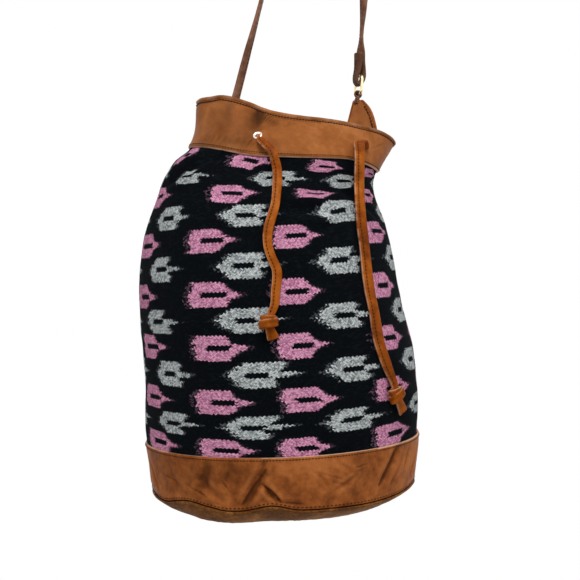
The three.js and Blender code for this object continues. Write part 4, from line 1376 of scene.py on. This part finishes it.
def strip(name, line, across, width, thick, groove=None, seed=0.0, sides=36):
    """Sweeps a flat section with round edges along a line, and closes its ends."""
    across, _, out = frames(line, across)
    count, run = len(line) - 1, run_of(line)
    width, thick = np.broadcast_to(width, len(line)), np.broadcast_to(thick, len(line))

    def place(u, v):
        i = np.rint(v * count).astype(int)
        c, s = np.cos(2 * math.pi * u), np.sin(2 * math.pi * u)
        w, t = np.sign(c) * np.abs(c) ** 0.6, np.sign(s) * np.abs(s) ** 0.75
        high = thick[i] / 2 * t
        if groove is not None:
            high = high - GROOVE_DEPTH * np.exp(-(((w - groove) / GROOVE_WIDTH) ** 2)) * np.sign(s)
        points = line[i] + across[i] * (width[i] / 2 * w)[:, None] + out[i] * high[:, None]
        return points + out[i] * (0.12 * rumple(points, 3.2, seed) * t)[:, None]

    piece = roll(name, sides, count, place, lambda u, v: (u, stepped(v, run)), closed=True)
    note(piece, "crease", 0.9 * rumple(spots_of(piece), 2.6, seed + 5))
    return piece


def narrowed(at, places, width):
    """A strip's width along its run, from pairs of place and share."""
    where, share = np.array(places).T
    return width * np.interp(at, where, share)


print("a groove is", GROOVE_DEPTH, "mm deep")

# %% [markdown]
# An overhand knot in a flat lace looks like a band wrapped around it, with the raw edge showing.
# The lace could be led through a real knot, but flat leather crumples in one, so the knot is built
# as it looks: two turns of the same lace on short tilted helices, one over the other, with their
# ends tucked under.

# %% Knots
KNOT_THICK, KNOT_GROOVE = 3.0, 0.3
# How far each wrap lies from the knot's middle, sideways and outwards
UNDER_REACH, OVER_REACH = (4.6, 3.0), (5.8, 4.0)
TUCKED, TUCK_REACH = 0.35, 1.0


def wrap(name, center, basis, turns, reach, lean, climb, width, seed):
    """One turn of lace around a knot, from one tucked end to the other."""
    turn = np.linspace(-turns, turns, 80) * 2 * math.pi
    end = np.abs(turn).max()
    pull = 1 - TUCKED * smooth(np.abs(turn), end - TUCK_REACH, end)
    helix = np.column_stack([np.sin(turn) * reach[0] * pull, np.cos(turn) * reach[1] * pull,
                             turn * climb + lean * np.sin(turn)])
    line = center + helix @ basis
    radial = unit(np.column_stack([np.sin(turn), np.cos(turn), turn * 0]) @ basis)
    across = np.cross(radial, unit(np.gradient(line, axis=0)))
    return strip(name, line, across, width * (0.75 + 0.25 * pull), KNOT_THICK, groove=KNOT_GROOVE, seed=seed)


def knot(name, center, along, out, lean):
    """Two wraps of the lace that cross at the front, one over the other."""
    basis = np.vstack([np.cross(along, out), out, along])
    under = wrap(name, center - along * 2.2, basis, turns=0.6, reach=UNDER_REACH, lean=-lean, climb=0.2,
                 width=5.0, seed=31.0)
    over = wrap(name + "_over", center + along * 1.2, basis, turns=0.62, reach=OVER_REACH, lean=lean,
                climb=0.3, width=6.6, seed=37.0)
    bpy.ops.object.select_all(action="DESELECT")
    over.select_set(True)
    under.select_set(True)
    bpy.context.view_layer.objects.active = under
    bpy.ops.object.join()
    return under


print("a knot is about", round(2 * OVER_REACH[0] + KNOT_THICK, 1), "mm wide")

# %% [markdown]
# Each free end leaves its eyelet by a few points of its own, turns to lie on the bag, and narrows
# where it is pulled into its knot. Below the knot it opens into a flat tail. One width all along
# would be simpler, but it would look like a ribbon, so shares of the width are listed by place.

# %% Lace ends
Run = namedtuple("Run", "line at across width knot_at")
UP = np.array([0.0, 0.0, 1.0])
# The ways a lace's face may look as it leaves its eyelet
LOOKS = {"up": UP, "back": np.array([0.0, 1.0, 0.0]), "front": np.array([0.0, -0.8, 0.6])}
# Places along the lace from its knot or from its end, with shares of its width
NEAR_KNOT = [(-14, 0.84), (-4, 0.66), (3, 0.74)]
AT_END = [(-1, 1.1), (0, 1.02)]
BEFORE_KNOT = -26


def hang(start, route, leaving, square):
    """The line of a free end, the way its face looks, its run, and the point its knot is at.

    It leaves by points given as aside, up and forward, with the way its face looks there. Square is
    how much the face is turned from the bag's slope to the front.
    """
    points, face = on_front(start, route)
    face = unit(face - [[0, square, 0]])
    first = np.array([start + [aside, -forward, up] for aside, up, forward, _ in leaving])
    looks = np.array([LOOKS[way] for _, _, _, way in leaving])
    points = np.vstack([first, points])
    face = np.vstack([looks, unit(face[:1] + UP * 0.5), face[1:]])
    line, at = smooth_line(np.hstack([points, face]), 0.9)
    tied = np.argmin(np.linalg.norm(line[:, :3] - points[-2], axis=1))
    return line[:, :3], unit(line[:, 3:]), at, tied


def lace_end(side, route, leaving, widths, square, lean):
    """One free end with its knot, which leans. Widths are places along it with shares of its width."""
    line, face, at, tied = hang(holes["front_" + side].point, route, leaving, square)
    length, knot_at = at[-1], at[tied]
    widths = [*widths, (knot_at + BEFORE_KNOT, widths[-1][1])]
    widths += [(knot_at + away, share) for away, share in NEAR_KNOT]
    widths += [(length + away, share) for away, share in AT_END]
    width = narrowed(at, widths, LACE_WIDTH) + 0.25 * np.sin(at / 6.5)
    thick = narrowed(at, [(0, 1.2), (12, 1.1), (24, 1), (length - 6, 0.9), (length, 0.6)], LACE_THICK)
    along = unit(np.gradient(line, axis=0))
    across = np.cross(face, along)
    lace = strip("lace_" + side, line, across, width, thick, groove=-0.34, seed=3.0)
    dress(lace, lace_tan, "lace", "drawstring")
    lace_knot = knot("lace_knot_" + side, line[tied], along[tied], face[tied], lean)
    dress(lace_knot, lace_tan, "lace", "drawstring")
    print(lace.name, "runs", round(length, 1), "mm")
    return Run(line, at, across, width, knot_at)


left_run = lace_end(
    "left", LEFT_END, leaving=[(-0.1, -0.5, 0.4, "up"), (0.1, -0.8, 2.4, "up")],
    widths=[(0, 0.36), (5, 0.4), (11, 0.62), (19, 0.84), (28, 0.88)], square=0.2, lean=0.5)
right_run = lace_end(
    "right", RIGHT_END, leaving=[(0.3, 0.2, 0.4, "up"), (2.4, -0.6, 3.0, "up"), (2.3, 1.7, 4.6, "back"),
                                 (0.6, 3.9, 6.8, "up"), (-1.5, 1.9, 9.6, "front")],
    widths=[(0, 0.42), (1.6, 0.5), (3.4, 1.0), (9, 1.1), (40, 1.1)], square=0.9, lean=0.9)

# %% [markdown]
# Between the front eyelets the lace runs inside the collar, around both sides, and comes out
# through the two back eyelets to cross the back. It could stop inside each eyelet, where nobody
# looks, but then the bag would not draw shut, so the whole run is there, as one strip.

# %% Lace inside the collar
# Distances out of the bag along each stretch, from eyelet to eyelet
SIDE = np.array([-11.1, -9.1, -6.1, -4.1, -4.1, -4.1, -4.1, -6.1, -9.1, -11.1])
BACK = np.array([11.4, 9.9, 9.9, 11.4])
INWARD, OUTWARD = (2.0, 0, -3.4, -6.4), (-6.4, -3.4, 0, 3, 6.2)


def through(name, reach):
    return [holes[name].point + holes[name].out * away for away in reach]


def beside_wall(start, end, offsets, lap=0.0):
    """Points between two eyelets, without them. The lap is added to the turn of the second."""
    share = np.arange(1, len(offsets) + 1) / (len(offsets) + 1)
    turn = holes[start].turn + (holes[end].turn + lap - holes[start].turn) * share
    level = holes[start].level + (holes[end].level - holes[start].level) * share
    return list(wall(turn, level, offsets))


line, _ = smooth_line([
    *through("front_left", INWARD), *beside_wall("front_left", "back_left", SIDE, lap=-2 * math.pi),
    *through("back_left", OUTWARD), *beside_wall("back_left", "back_right", BACK),
    *through("back_right", OUTWARD[::-1]), *beside_wall("back_right", "front_right", SIDE),
    *through("front_right", INWARD[::-1])], 1.1)
points = np.array([hole.point for hole in holes.values()])
clear = smooth(np.linalg.norm(line[:, None] - points[None], axis=2).min(1), 5, 18)
width, thick = LACE_WIDTH * (0.5 + 0.45 * clear), LACE_THICK * (1.3 - 0.3 * clear)
lace_run = strip("lace_run", line, np.tile(UP, (len(line), 1)), width, thick, groove=-0.42, seed=9.0)
dress(lace_run, lace_tan, "lace", "drawstring")

# %% [markdown]
# ## The tab
# A leather tab on the back of the collar carries the strap's ring. It is cut like a shield: wide
# where it is sewn to the collar, and drawn in to its top. It could be a bevelled plane, but its
# lower part has to lie on the curved wall, so its rows are listed, with smooth curves between
# them. A bead of leather runs along each of its edges.

# %% Tab
TAB_TURN, TAB_RISE, TAB_THICK, TAB_WALL = math.radians(141), 32.4, 2.8, 2.2
ON_RIM = 3.4
TAB_ACROSS, TAB_COLUMNS = 13, 40
tab_rim = wall(TAB_TURN, RIM, ON_RIM)[0]
tab_face = unit(facing(np.array([TAB_TURN]), np.array([RIM]))[0] * [1, 1, 0])
tab_left = np.cross(UP, tab_face)
TAB_ROWS = [
    # level, rise above the rim, half width to left and to right, out from the wall
    (RIM - 20, 0, 12.25, 17, 2.5), (RIM - 10, 0, 12.8, 19.5, 2.8), (RIM - 5, 0, 11.6, 20.2, ON_RIM),
    (RIM, 0, 10.2, 20.4, ON_RIM), (RIM, 11.2, 6.9, 19.2, ON_RIM), (RIM, 22.4, 4.4, 14, ON_RIM),
    (RIM, 29.6, 2.6, 7.5, ON_RIM), (RIM, TAB_RISE + 0.5, 1.8, 3.2, ON_RIM),
]


def tab_row(level, rise, left, right, out):
    """Points across the tab in one row, as one flat list of numbers."""
    speed = np.linalg.norm(wall(TAB_TURN + NEAR_TURN, level)[0] - wall(TAB_TURN, level)[0]) / NEAR_TURN
    points = wall(TAB_TURN + np.linspace(-right, left, TAB_ACROSS) / speed, level, out)
    points[:, 2] += (tab_rim[2] - points[:, 2]) * smooth(rise, 0, TAB_RISE) + rise
    return points.ravel()


tab_rows, _ = smooth_line(np.array([tab_row(*row) for row in TAB_ROWS]), 0.7)
tab_rows = tab_rows.reshape(len(tab_rows), TAB_ACROSS, 3)


def tab_place(u, v):
    rows = tab_rows[np.rint(v * (len(tab_rows) - 1)).astype(int)]
    share = u * (TAB_ACROSS - 1)
    low = np.minimum(share.astype(int), TAB_ACROSS - 2)
    pick = np.arange(len(u))
    points = rows[pick, low] + (rows[pick, low + 1] - rows[pick, low]) * (share - low)[:, None]
    crown = 0.5 * np.sin(math.pi * u) ** 0.5 * np.sin(math.pi * np.clip(v, 0.02, 0.98)) ** 0.5
    return points + tab_face * (TAB_THICK - 0.5 + crown + 0.1 * rumple(points, 5, 61))[:, None]


tab = roll("leather_tab", TAB_COLUMNS, len(tab_rows) - 1, tab_place)
note(tab, "crease", 0.9 + 0.8 * rumple(corners_of(tab) / MM, 6, 62))
thicken(tab, TAB_WALL)
apply(tab, "BEVEL", width=0.5 * MM, segments=2, limit_method="ANGLE", angle_limit=math.radians(50))
dress(tab, tab_tan, "leather", "strap_tab")

BEAD, BEAD_DEEP = 2.7, 1.4
for side, column in (("right", 0), ("left", TAB_ACROSS - 1)):
    edge = tab_rows[:, column] + tab_face * (TAB_THICK - BEAD_DEEP)
    line, at = smooth_line(edge[::3], 0.8)
    width = narrowed(at, [(0, 0.4), (1.5, 1), (at[-1] - 1.5, 1), (at[-1], 0.5)], BEAD)
    outwards = np.tile(tab_face, (len(line), 1))
    bead = strip("tab_bead_" + side, line, outwards, width, width * 0.85, seed=14.0, sides=20)
    dress(bead, russet, "leather")

# %% [markdown]
# ## The ring
# A small ring of plated wire hangs in a loop of leather lace at the tab's top, so it can swing. A
# torus is round, and this ring is a rectangle with round corners: a plane loses its face, its
# corners are bevelled, and the outline becomes a curve with the wire's thickness.

# %% Ring
RING_WIDTH, RING_HEIGHT, RING_WIRE, RING_CORNER = 15.0, 18.0, 2.4, 3.2
RING_LEAN, RING_TURN = math.radians(5), math.radians(31)
LOOP_UP, LOOP_RIGHT = 37.4, 1.4
bar_down = (RING_HEIGHT - RING_WIRE) / 2
lower_bar = tab_rim + UP * LOOP_UP + tab_face * TAB_THICK / 2 - tab_left * LOOP_RIGHT
ring_up = UP * math.cos(RING_LEAN) - tab_left * math.sin(RING_LEAN)
ring_middle = lower_bar + ring_up * bar_down
upper_bar = lower_bar + ring_up * 2 * bar_down


def turned(way, angle):
    """A direction turned around the upright."""
    return np.array(Matrix.Rotation(angle, 3, "Z") @ Vector(way))


ring_face, ring_left = turned(tab_face, RING_TURN), turned(tab_left, RING_TURN)


def round_outline():
    bpy.ops.mesh.delete(type="ONLY_FACE")
    bpy.ops.mesh.select_all(action="SELECT")
    bpy.ops.mesh.bevel(offset=RING_CORNER * MM, segments=8, affect="VERTICES")


ring = add(bpy.ops.mesh.primitive_plane_add, "strap_ring_wire", size=1)
for corner in ring.data.vertices:
    corner.co.x *= (RING_WIDTH - RING_WIRE) * MM
    corner.co.y *= 2 * bar_down * MM
in_edit_mode(round_outline)
bpy.ops.object.convert(target="CURVE")
ring.data.bevel_depth = RING_WIRE / 2 * MM
ring.data.bevel_resolution = 5
bpy.ops.object.convert(target="MESH")
ring.data.transform(axis_frame(in_frame(ring_middle), np.cross(ring_face, ring_up), ring_face))
in_edit_mode(merge, face_out)
bpy.ops.object.shade_smooth()
dress(ring, pale_gold, "ring", "strap_ring", body="ring")

# %% [markdown]
# The loop is a strip that goes around the ring's lower bar, with its two feet on the tab. Moved as
# one with either the ring or the bag, it would leave the other, so it is attached to neither.

# %% Loop of the tab
LOOP_RADIUS, LOOP_WIDTH, LOOP_THICK, FOOT_DEEP = 2.5, 5.6, 2.0, 3.0
turn = np.radians(np.linspace(-72, 252, 17))
arc = lower_bar + LOOP_RADIUS * (np.outer(np.cos(turn), tab_left) + np.outer(np.sin(turn), UP))
foot = lower_bar + tab_left * LOOP_RIGHT - UP * (LOOP_UP - TAB_RISE + FOOT_DEEP)
left_foot, right_foot = foot + tab_left, foot - tab_left
line, _ = smooth_line(np.vstack([left_foot, left_foot + UP * 2, arc, right_foot + UP * 2, right_foot]), 0.5)
outwards = np.tile(tab_face, (len(line), 1))
loop = strip("tab_ring_loop", line, outwards, LOOP_WIDTH, LOOP_THICK, seed=17.0, sides=24)
dress(loop, brown, "lace", "tab_loop", bends=(lower_bar - UP * 6, lower_bar - UP))

# %% [markdown]
# ## The shoulder strap
# One strap of brown leather carries the bag. Its left end is sewn to the collar, it rises to the
# peg and comes down again, and its right end turns around the ring's upper bar and is sewn back on
# itself. A curve could be drawn through the air, but a strap also twists, so each listed place has
# the direction across the strap beside it.

# %% Route of the shoulder strap
STRAP_TURN, STRAP_WIDTH, STRAP_THICK, FOLD_BACK = math.radians(221), 8.4, 3.4, 20.6
PEG, PEG_TOP = 16.0, -UNDERSIDE
STRAP_CLEAR, FOLD_TWIST = 0.3, math.radians(30)
strap_rim = ON_RIM + STRAP_CLEAR + STRAP_THICK / 2
rim_point = wall(STRAP_TURN, RIM, strap_rim)[0]
flat = unit(wall(STRAP_TURN + 0.02, RIM)[0] - wall(STRAP_TURN - 0.02, RIM)[0])
# Half the bend over the peg, and from the strap's middle to the bar's middle or to its other half
peg_bend, fold, side = (PEG + 3.6) / 2, RING_WIRE / 2 + 0.35 + STRAP_THICK / 2, STRAP_THICK / 2 + 0.1


def twisted(way, up):
    """A direction at a height above the bar, as the doubled strap turns to face the front."""
    return turned(way, FOLD_TWIST * smooth(up, -4, 13))


def near_bar(sideways, up):
    return upper_bar + twisted(ring_left * sideways, up) + UP * up


def between(start, end, share, bow):
    return start + (end - start) * share + SIDEWAYS * bow


def over_peg(degrees):
    angle = math.radians(degrees)
    return PEG_TOP + np.array([peg_bend * math.cos(angle), 0, peg_bend * math.sin(angle) - PEG / 2])


leave, top_left, top_right = rim_point + [3, 2, 12], over_peg(172), over_peg(8)
fold_top, FRONT = near_bar(-side, FOLD_BACK), np.array([0.0, -1.0, 0.0])
sewn = [(COLLAR_SEAM + 10, LEATHER_OUT + STRAP_CLEAR + STRAP_THICK / 2), (COLLAR_SEAM + 22, strap_rim - 0.6),
        (RIM - 5, strap_rim), (RIM, strap_rim)]
# Share of the way, bow to the right, and the direction across the strap
rising = [(0, 0, flat + FRONT * 0.25), (0.1, 1.4, flat * 0.8 + FRONT * 0.6),
          (0.15, 2.4, flat * 0.5 + FRONT * 0.8), (0.2, 3.2, flat * 0.2 + FRONT), (0.3, 4.4, FRONT),
          (0.5, 5, FRONT), (0.75, 3, FRONT)]
falling = [(0.25, 3, FRONT), (0.5, 6, SIDEWAYS * 0.4 + FRONT), (0.76, 6, SIDEWAYS + FRONT * 0.5),
           (0.87, 4, SIDEWAYS * 0.5 + FRONT * 0.8), (0.95, 1.2, SIDEWAYS * 0.05 + FRONT)]
# Sideways from the bar's middle and up
folding = [(-side, FOLD_BACK), (-side * 1.1, 13), (-side * 1.6, 6), (-fold, 0.5), (-fold * 0.6, -4),
           (1.0, -7.2), (fold * 1.1, -5), (fold * 1.15, 0), (side * 1.35, 6), (side, 13), (side, FOLD_BACK)]
strap_route = [
    *((wall(STRAP_TURN, level, out)[0], flat) for level, out in sewn),
    *((between(leave, top_left, share, bow), across) for share, bow, across in rising),
    *((over_peg(degrees), FRONT) for degrees in (172, 132, 90, 48, 8)),
    *((between(top_right, fold_top, share, bow), across) for share, bow, across in falling),
    *((near_bar(sideways, up), twisted(-ring_face, up)) for sideways, up in folding),
]
print("strap:", len(strap_route), "listed places")

# %% [markdown]
# The strap is one strip along that route, with painted shade where it is folded and turned around
# the bar.

# %% Shoulder strap
line, strap_at = smooth_line(np.array([np.concatenate(place) for place in strap_route]), 1.0)
strap_line, strap_across = line[:, :3], unit(line[:, 3:])
strap_end = strap_at[-1]
ends = [(0, 0.8), (1.2, 1), (strap_end - 1.2, 1), (strap_end, 0.85)]
strap_width = narrowed(strap_at, ends, STRAP_WIDTH) + 0.25 * np.sin(strap_at / 9)
strap = strip("leather_strap", strap_line, strap_across, strap_width, STRAP_THICK, groove=-0.45, seed=21.0)


def near_fold(up, near, far):
    """1 close to a height above the bar, and 0 far from it."""
    away = np.linalg.norm(spots_of(strap) - upper_bar - UP * up, axis=1)
    return 1 - smooth(away, near, far)


# Painted shade where the strap folds around the bar, above and below it.
note(strap, "hollow", 0.8 * near_fold(8, 8, 20) + 0.5 * near_fold(-7, 3, 10))
strap_bends = upper_bar + UP * 5 + [-22, 0, 22], upper_bar + UP * 5
dress(strap, brown, "strap", "shoulder_strap", bends=strap_bends)
print("strap:", round(strap_end), "mm")

# %% [markdown]
# ## Stitches
# Each stitch is a real bead of thread, pressed half into the leather. A bump in the leather's
# finish would look flat from the side. One bead is modelled from a small sphere, drawn long and
# flattened, and copies of it follow each seam at an even pitch, as one mesh to a row.

# %% A row of stitches
STEP = 0.4


def stitch_shape(length, thick):
    shape = add(bpy.ops.mesh.primitive_uv_sphere_add, "stitch_shape", segments=8, ring_count=5, radius=0.5)
    in_edit_mode(
        lambda: bpy.ops.transform.rotate(value=math.pi / 2, orient_axis="Y", center_override=(0, 0, 0)),
        lambda: bpy.ops.transform.resize(value=(length, thick, thick * 0.8)))
    corners, faces = corners_of(shape), [list(face.vertices) for face in shape.data.polygons]
    bpy.data.meshes.remove(shape.data)
    return corners, faces


def sew(name, line, out, material, slot, pitch=3.2, length=2.3, thick=0.8, bends=None):
    """A row of stitches along a line, with the way out of the leather at each of its points."""
    run, _ = smooth_line(np.hstack([line, out]), STEP)
    every = max(round(pitch / STEP), 1)
    ways = unit(np.gradient(run[:, :3], axis=0))[::every]
    spots, ups = run[::every, :3], unit(run[::every, 3:])
    corners, faces = stitch_shape(length, thick)
    points = spots[:, None]
    for axis, directions in enumerate((ways, np.cross(ups, ways), ups)):
        points = points + corners[None, :, axis:axis + 1] * directions[:, None]
    all_faces = [[c + i * len(corners) for c in face] for i in range(len(spots)) for face in faces]
    mesh = bpy.data.meshes.new(name)
    mesh.from_pydata(in_frame(points.reshape(-1, 3)).tolist(), [], all_faces)
    piece = bpy.data.objects.new(name, mesh)
    bpy.context.scene.collection.objects.link(piece)
    bpy.ops.object.select_all(action="DESELECT")
    piece.select_set(True)
    bpy.context.view_layer.objects.active = piece
    in_edit_mode(face_out)
    bpy.ops.object.shade_smooth()
    return dress(piece, material, slot, bends=bends)


print("a stitch has", len(stitch_shape(1, 1)[1]), "faces")

# %% [markdown]
# Four rows go around the bag: under the rim, above the collar's seam, under the band's upper edge
# and above the base. A modifier could drop them onto the finished leather, but its heights are
# known, so they are sunk into the same creases and dents, and none hangs in the air.

# %% Stitches around the bag
circle = np.linspace(-math.pi, math.pi, 361)
UNDER_RIM, ABOVE_COLLAR, UNDER_BAND, ABOVE_BASE = 2.6, 2.1, 2.1, 2.0


def sew_around(name, level, out, **how):
    level = np.broadcast_to(level, len(circle))
    on_wall = np.maximum(level, BASE_SEAM)
    line = wall(circle, on_wall, out)
    line[:, 2] += level - on_wall + rim_lift(circle, on_wall)
    return sew(name, line, facing(circle, on_wall), dark_thread, "leather", **how)


def collar_creases(level):
    """How far the collar is pressed in along a row."""
    level = np.broadcast_to(level, len(circle))
    return np.maximum(collar_height(circle, level, wall(circle, level))[0], COLLAR_DEEPEST)


row = RIM - UNDER_RIM
sew_around("stitches_rim", row, 2.0 + collar_creases(row), pitch=2.6, length=2.4, thick=1.25)
row = collar_seam(circle) + ABOVE_COLLAR
sew_around("stitches_collar", row, 1.9 + collar_creases(row), pitch=2.6, length=2.0, thick=0.9)
dents = hills(circle, np.full(len(circle), BAND_SEAM), BAND_DENTS)
sew_around("stitches_band_top", BAND_SEAM - UNDER_BAND, 1.95 + dents, pitch=2.6, length=1.9)
row = base_seam(circle) + ABOVE_BASE
sew_around("stitches_base", row, 1.95 - tuck(circle) * 0.9, pitch=3.0, length=2.1)

# %% [markdown]
# The other rows follow the laces, both faces of the strap and the edges of the tab. Their lines
# could be drawn anew, but each strip has kept its own, so a row is that line, moved a little aside
# and out.

# %% Stitches on laces, strap and tab
for side, lace in (("left", left_run), ("right", right_run)):
    across, _, out = frames(lace.line, lace.across)
    spot = lace.line - across * (lace.width * 0.17)[:, None] + out * (LACE_THICK / 2 - 0.36)
    keep = (lace.at > 12) & (lace.at < lace.knot_at - 6)
    sew("stitches_lace_" + side, spot[keep], out[keep], lace_thread, "lace", pitch=2.8, length=1.7, thick=0.8)

across, _, out = frames(strap_line, strap_across)
for face, sign in (("front", 1), ("back", -1)):
    spot = strap_line - across * (strap_width * 0.225)[:, None] + out * (STRAP_THICK / 2 - 0.22) * sign
    sew("stitches_strap_" + face, spot[4:-6], out[4:-6] * sign, dark_thread, "strap", pitch=3.2, length=2.2,
        thick=0.55, bends=strap_bends)

above_rim = np.flatnonzero(tab_rows[:, TAB_ACROSS // 2, 2] > tab_rim[2] + 2)[0]
to_left = unit(tab_rows[:, -1] - tab_rows[:, 0])
TAB_STITCHES = [
    # name, edge, in from it, way it looks, first row, out from the tab's back
    ("right_outer", 0, 2.9, 1, 3, TAB_THICK - 0.15), ("right_inner", 0, 2.9, -1, above_rim, 0.25),
    ("left_outer", -1, -2.2, 1, 3, TAB_THICK - 0.15),
]
for name, column, inset, sign, start, deep in TAB_STITCHES:
    spot = (tab_rows[:, column] + to_left * inset + tab_face * deep)[start:-12]
    outwards = np.tile(tab_face * sign, (len(spot), 1))
    sew("stitches_tab_" + name, spot, outwards, dark_thread, "leather", pitch=2.8, length=2.3, thick=1.4)

# %% [markdown]
# ## Floor and lamps
# The bag hangs over a plain pale floor in soft, even light: one large lamp above the front, two
# weaker ones at its sides and one behind. Small lamps would give hard shadows, so all are wide.

# %% Floor and lamps
LIT_PLACE = Vector((-0.045, -0.06, -0.52))
FLOOR_AT, FLOOR_RADIUS = (-0.045, -0.054, -1.02), 0.88
# Place, watts, size
LAMPS = {"key_softbox": ((0.0, -1.05, 0.85), 18, 0.8), "fill_softbox": ((-1.2, -1.0, -0.2), 3.5, 1.2),
         "side_softbox": ((1.2, -0.8, -0.2), 4.5, 1.0), "rim_softbox": ((0.3, 1.3, 0.2), 4, 1.0)}
for name, (place, watts, size) in LAMPS.items():
    lamp = add(bpy.ops.object.light_add, name, type="AREA", location=place)
    lamp.data.energy, lamp.data.size = watts, size
    lamp.rotation_euler = (LIT_PLACE - lamp.location).to_track_quat("-Z", "Y").to_euler()

floor = add(bpy.ops.mesh.primitive_circle_add, "pale_floor", vertices=96, radius=FLOOR_RADIUS,
            fill_type="NGON", location=FLOOR_AT)
floor.data.transform(floor.matrix_world)
floor.matrix_world = Matrix.Identity(4)
paper = Finish("floor_paper")
cloudy = paper.mix(paper.clouds(60, 3), (0.8, 0.8, 0.79), (0.86, 0.86, 0.85))
floor.data.materials.append(paper.set(Base_Color=cloudy, Roughness=0.9))
print("lamps:", len(LAMPS), "over a floor", 2 * FLOOR_RADIUS, "m wide")

# %% [markdown]
# ## The white around it
# The white of the background is the world's own colour. If it lit the bag at full strength there
# would be no shade at all, so it is seen by the camera and in the metal only, and what lights the
# bag is a quarter of it.

# %% World
WHITE, LIGHT_SHARE = (1, 1, 1), 0.25
world = bpy.data.worlds.new("white_studio")
bpy.context.scene.world = world
world.use_nodes = True
sky = Nodes(world.node_tree)
camera_ray, glossy_ray, clear_ray = (sky.node("LightPath", output=f"Is {kind} Ray")
                                     for kind in ("Camera", "Glossy", "Transmission"))
seen = sky.node("Background", None, {"Color": WHITE, "Strength": 1.0})
lighting = sky.node("Background", None, {"Color": WHITE, "Strength": LIGHT_SHARE})
which = camera_ray.larger(glossy_ray).larger(clear_ray)
sky.feed(world.node_tree.nodes["World Output"].inputs["Surface"],
         sky.node("MixShader", None, {0: which, 1: lighting, 2: seen}))
bpy.context.scene.view_settings.view_transform = "Standard"
print("world:", len(world.node_tree.nodes), "nodes")
